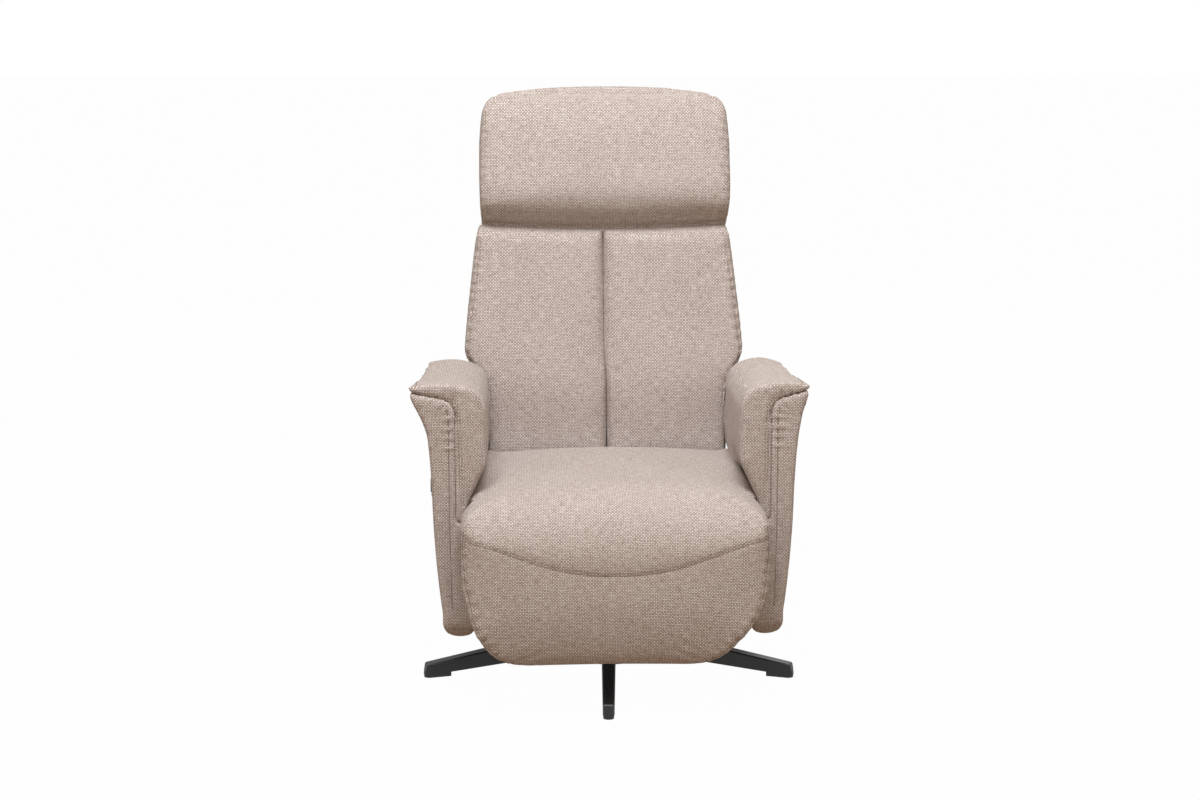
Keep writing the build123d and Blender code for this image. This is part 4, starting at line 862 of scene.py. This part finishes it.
def coated(name, colour, roughness, metallic, grain, depth, tint):
    """Hard finish with a fine grain in its surface and a slight unevenness of tone."""
    material, nodes, links = new_material(name)
    shader = nodes["Principled BSDF"]
    shader.inputs["Metallic"].default_value = metallic
    place = nodes.new("ShaderNodeTexCoord").outputs["Object"]
    fine_noise, broad_noise = nodes.new("ShaderNodeTexNoise"), nodes.new("ShaderNodeTexNoise")
    for node, scale in ((fine_noise, grain), (broad_noise, broad_scale)):
        node.inputs["Scale"].default_value = scale
        node.inputs["Detail"].default_value = 3.0
        links.new(place, node.inputs["Vector"])
    ramp = nodes.new("ShaderNodeValToRGB")
    ramp.color_ramp.elements[0].position = 0.35
    ramp.color_ramp.elements[0].color = (*[c * (1 - tint) for c in colour], 1)
    ramp.color_ramp.elements[1].position = 0.65
    ramp.color_ramp.elements[1].color = (*[c * (1 + tint) for c in colour], 1)
    links.new(broad_noise.outputs["Fac"], ramp.inputs["Fac"])
    links.new(ramp.outputs["Color"], shader.inputs["Base Color"])
    spread = nodes.new("ShaderNodeMapRange")
    spread.inputs["To Min"].default_value = roughness - gloss_spread
    spread.inputs["To Max"].default_value = roughness + gloss_spread
    links.new(broad_noise.outputs["Fac"], spread.inputs["Value"])
    links.new(spread.outputs["Result"], shader.inputs["Roughness"])
    bump = nodes.new("ShaderNodeBump")
    bump.inputs["Strength"].default_value = grain_bump
    bump.inputs["Distance"].default_value = depth
    links.new(fine_noise.outputs["Fac"], bump.inputs["Height"])
    links.new(bump.outputs["Normal"], shader.inputs["Normal"])
    return material


# Slot, name, colour, roughness, metal share, grain, depth of the grain, unevenness of tone.
coats = (
    ("black_steel", "black_powder_coat", (0.0055, 0.0042, 0.004), 0.5, 0.0, 900.0, 0.1 * mm, 0.2),
    ("frame_steel", "grey_powder_coat", (0.06, 0.06, 0.064), 0.5, 0.0, 900.0, 0.1 * mm, 0.15),
    ("zinc_steel", "zinc_plate", (0.62, 0.61, 0.58), 0.34, 1.0, 500.0, 0.05 * mm, 0.12),
    ("black_plastic", "grained_plastic", (0.022, 0.022, 0.023), 0.55, 0.0, 1600.0, 0.15 * mm, 0.1),
    ("button_plastic", "button_plastic", (0.36, 0.36, 0.37), 0.4, 0.0, 1600.0, 0.08 * mm, 0.06),
    ("plywood", "birch_plywood", (0.56, 0.40, 0.24), 0.65, 0.0, 220.0, 0.3 * mm, 0.2),
)
finishes = {slot_name: coated(*values) for slot_name, *values in coats}
finishes["upholstery"] = cloth
slots = {part["node"]: part["material_slot"] for part in frame["record"]["subparts"]}
for node, obj in frame["nodes"].items():
    obj.data.materials.clear()
    obj.data.materials.append(finishes[slots[node]])

# Studio: a pale floor that keeps the shadow, a white backdrop, and plain soft lamps.
# The camera and clear reflections see the floor and backdrop white, and the lamps' light finds them tinted.
floor_reach = 14.0
floor_tint, floor_white_share = (0.26, 0.18, 0.12), 0.985
backdrop_tint, backdrop_strength = (1.0, 0.80, 0.64), 0.38


def seen_directly(nodes, links):
    """1 for a ray from the camera or a clear reflection, or else 0."""
    rays = nodes.new("ShaderNodeLightPath")
    seen = nodes.new("ShaderNodeMath")
    seen.operation = "MAXIMUM"
    links.new(rays.outputs["Is Camera Ray"], seen.inputs[0])
    links.new(rays.outputs["Is Glossy Ray"], seen.inputs[1])
    return seen.outputs["Value"]


def choose(nodes, links, share, tinted, white, result):
    """Mixes the tinted and the white shader by a share, into the result."""
    chosen = nodes.new("ShaderNodeMixShader")
    links.new(share, chosen.inputs["Fac"])
    links.new(tinted, chosen.inputs[1])
    links.new(white, chosen.inputs[2])
    links.new(chosen.outputs["Shader"], result.inputs["Surface"])


floor_mesh = bpy.data.meshes.new("floor")
corners = [(x * floor_reach, y * floor_reach, 0) for x, y in ((-1, -1), (1, -1), (1, 1), (-1, 1))]
floor_mesh.from_pydata(corners, [], [(0, 1, 2, 3)])
floor = link(bpy.data.objects.new("floor", floor_mesh))
paper, nodes, links = new_material("white_paper")
matte = nodes["Principled BSDF"]
matte.inputs["Base Color"].default_value = (*floor_tint, 1)
matte.inputs["Roughness"].default_value = 0.9
glow = nodes.new("ShaderNodeEmission")
part_seen = nodes.new("ShaderNodeMath")
part_seen.operation = "MULTIPLY"
part_seen.inputs[1].default_value = floor_white_share
links.new(seen_directly(nodes, links), part_seen.inputs[0])
white_share, tinted, white = part_seen.outputs["Value"], matte.outputs["BSDF"], glow.outputs["Emission"]
choose(nodes, links, white_share, tinted, white, nodes["Material Output"])
floor_mesh.materials.append(paper)

world = bpy.data.worlds.new("studio")
bpy.context.scene.world = world
world.use_nodes = True
nodes, links = world.node_tree.nodes, world.node_tree.links
light_back = nodes["Background"]
light_back.inputs["Color"].default_value = (*backdrop_tint, 1)
light_back.inputs["Strength"].default_value = backdrop_strength
white_back = nodes.new("ShaderNodeBackground")
white_back.inputs["Color"].default_value = (1, 1, 1, 1)
tinted, white = light_back.outputs["Background"], white_back.outputs["Background"]
choose(nodes, links, seen_directly(nodes, links), tinted, white, nodes["World Output"])


def soft_lamp(name, place, target, size, power, colour):
    """A rectangular lamp that faces its target."""
    lamp = bpy.data.lights.new(name, "AREA")
    lamp.shape = "RECTANGLE"
    lamp.size, lamp.size_y = size
    lamp.energy = power
    lamp.color = colour
    obj = link(bpy.data.objects.new(name, lamp))
    obj.location = place
    obj.rotation_euler = (Vector(target) - Vector(place)).to_track_quat("-Z", "Y").to_euler()


cool_light, warm_light = (0.94, 0.975, 1.0), (1.0, 0.98, 0.96)
seat_middle, chair_middle = (0, 0, 0.5), (0, 0, 0.7)
soft_lamp("overhead", (-0.2, -2.0, 4.6), seat_middle, (2.2, 1.8), 204, cool_light)
soft_lamp("rear", (1.6, 3.6, 2.6), chair_middle, (2.0, 2.0), 30, warm_light)
soft_lamp("front_left", (-2.6, -3.2, 2.6), chair_middle, (1.8, 1.8), 18, warm_light)
soft_lamp("front_right", (2.8, -3.0, 2.4), chair_middle, (1.6, 1.8), 15, warm_light)

# Camera where the photograph was taken from: 5 m away, 1.56 m high, a little to the chair's right.
camera_distance = 5.0
camera_height = 1.556
camera_turn = math.radians(2.0)
camera_pitch = math.radians(11.685)
camera = bpy.data.cameras.new("camera")
camera.sensor_width = 36.0
camera.lens = 79.22
photo_width, aside = 1200, -8.7
camera.shift_x = aside / photo_width
camera_object = link(bpy.data.objects.new("camera", camera))
camera_object.location = (
    -camera_distance * math.sin(camera_turn),
    -camera_distance * math.cos(camera_turn),
    camera_height,
)
camera_object.rotation_euler = (math.pi / 2 - camera_pitch, 0, -camera_turn)
bpy.context.scene.camera = camera_object
bpy.context.scene.view_settings.view_transform = "Standard"
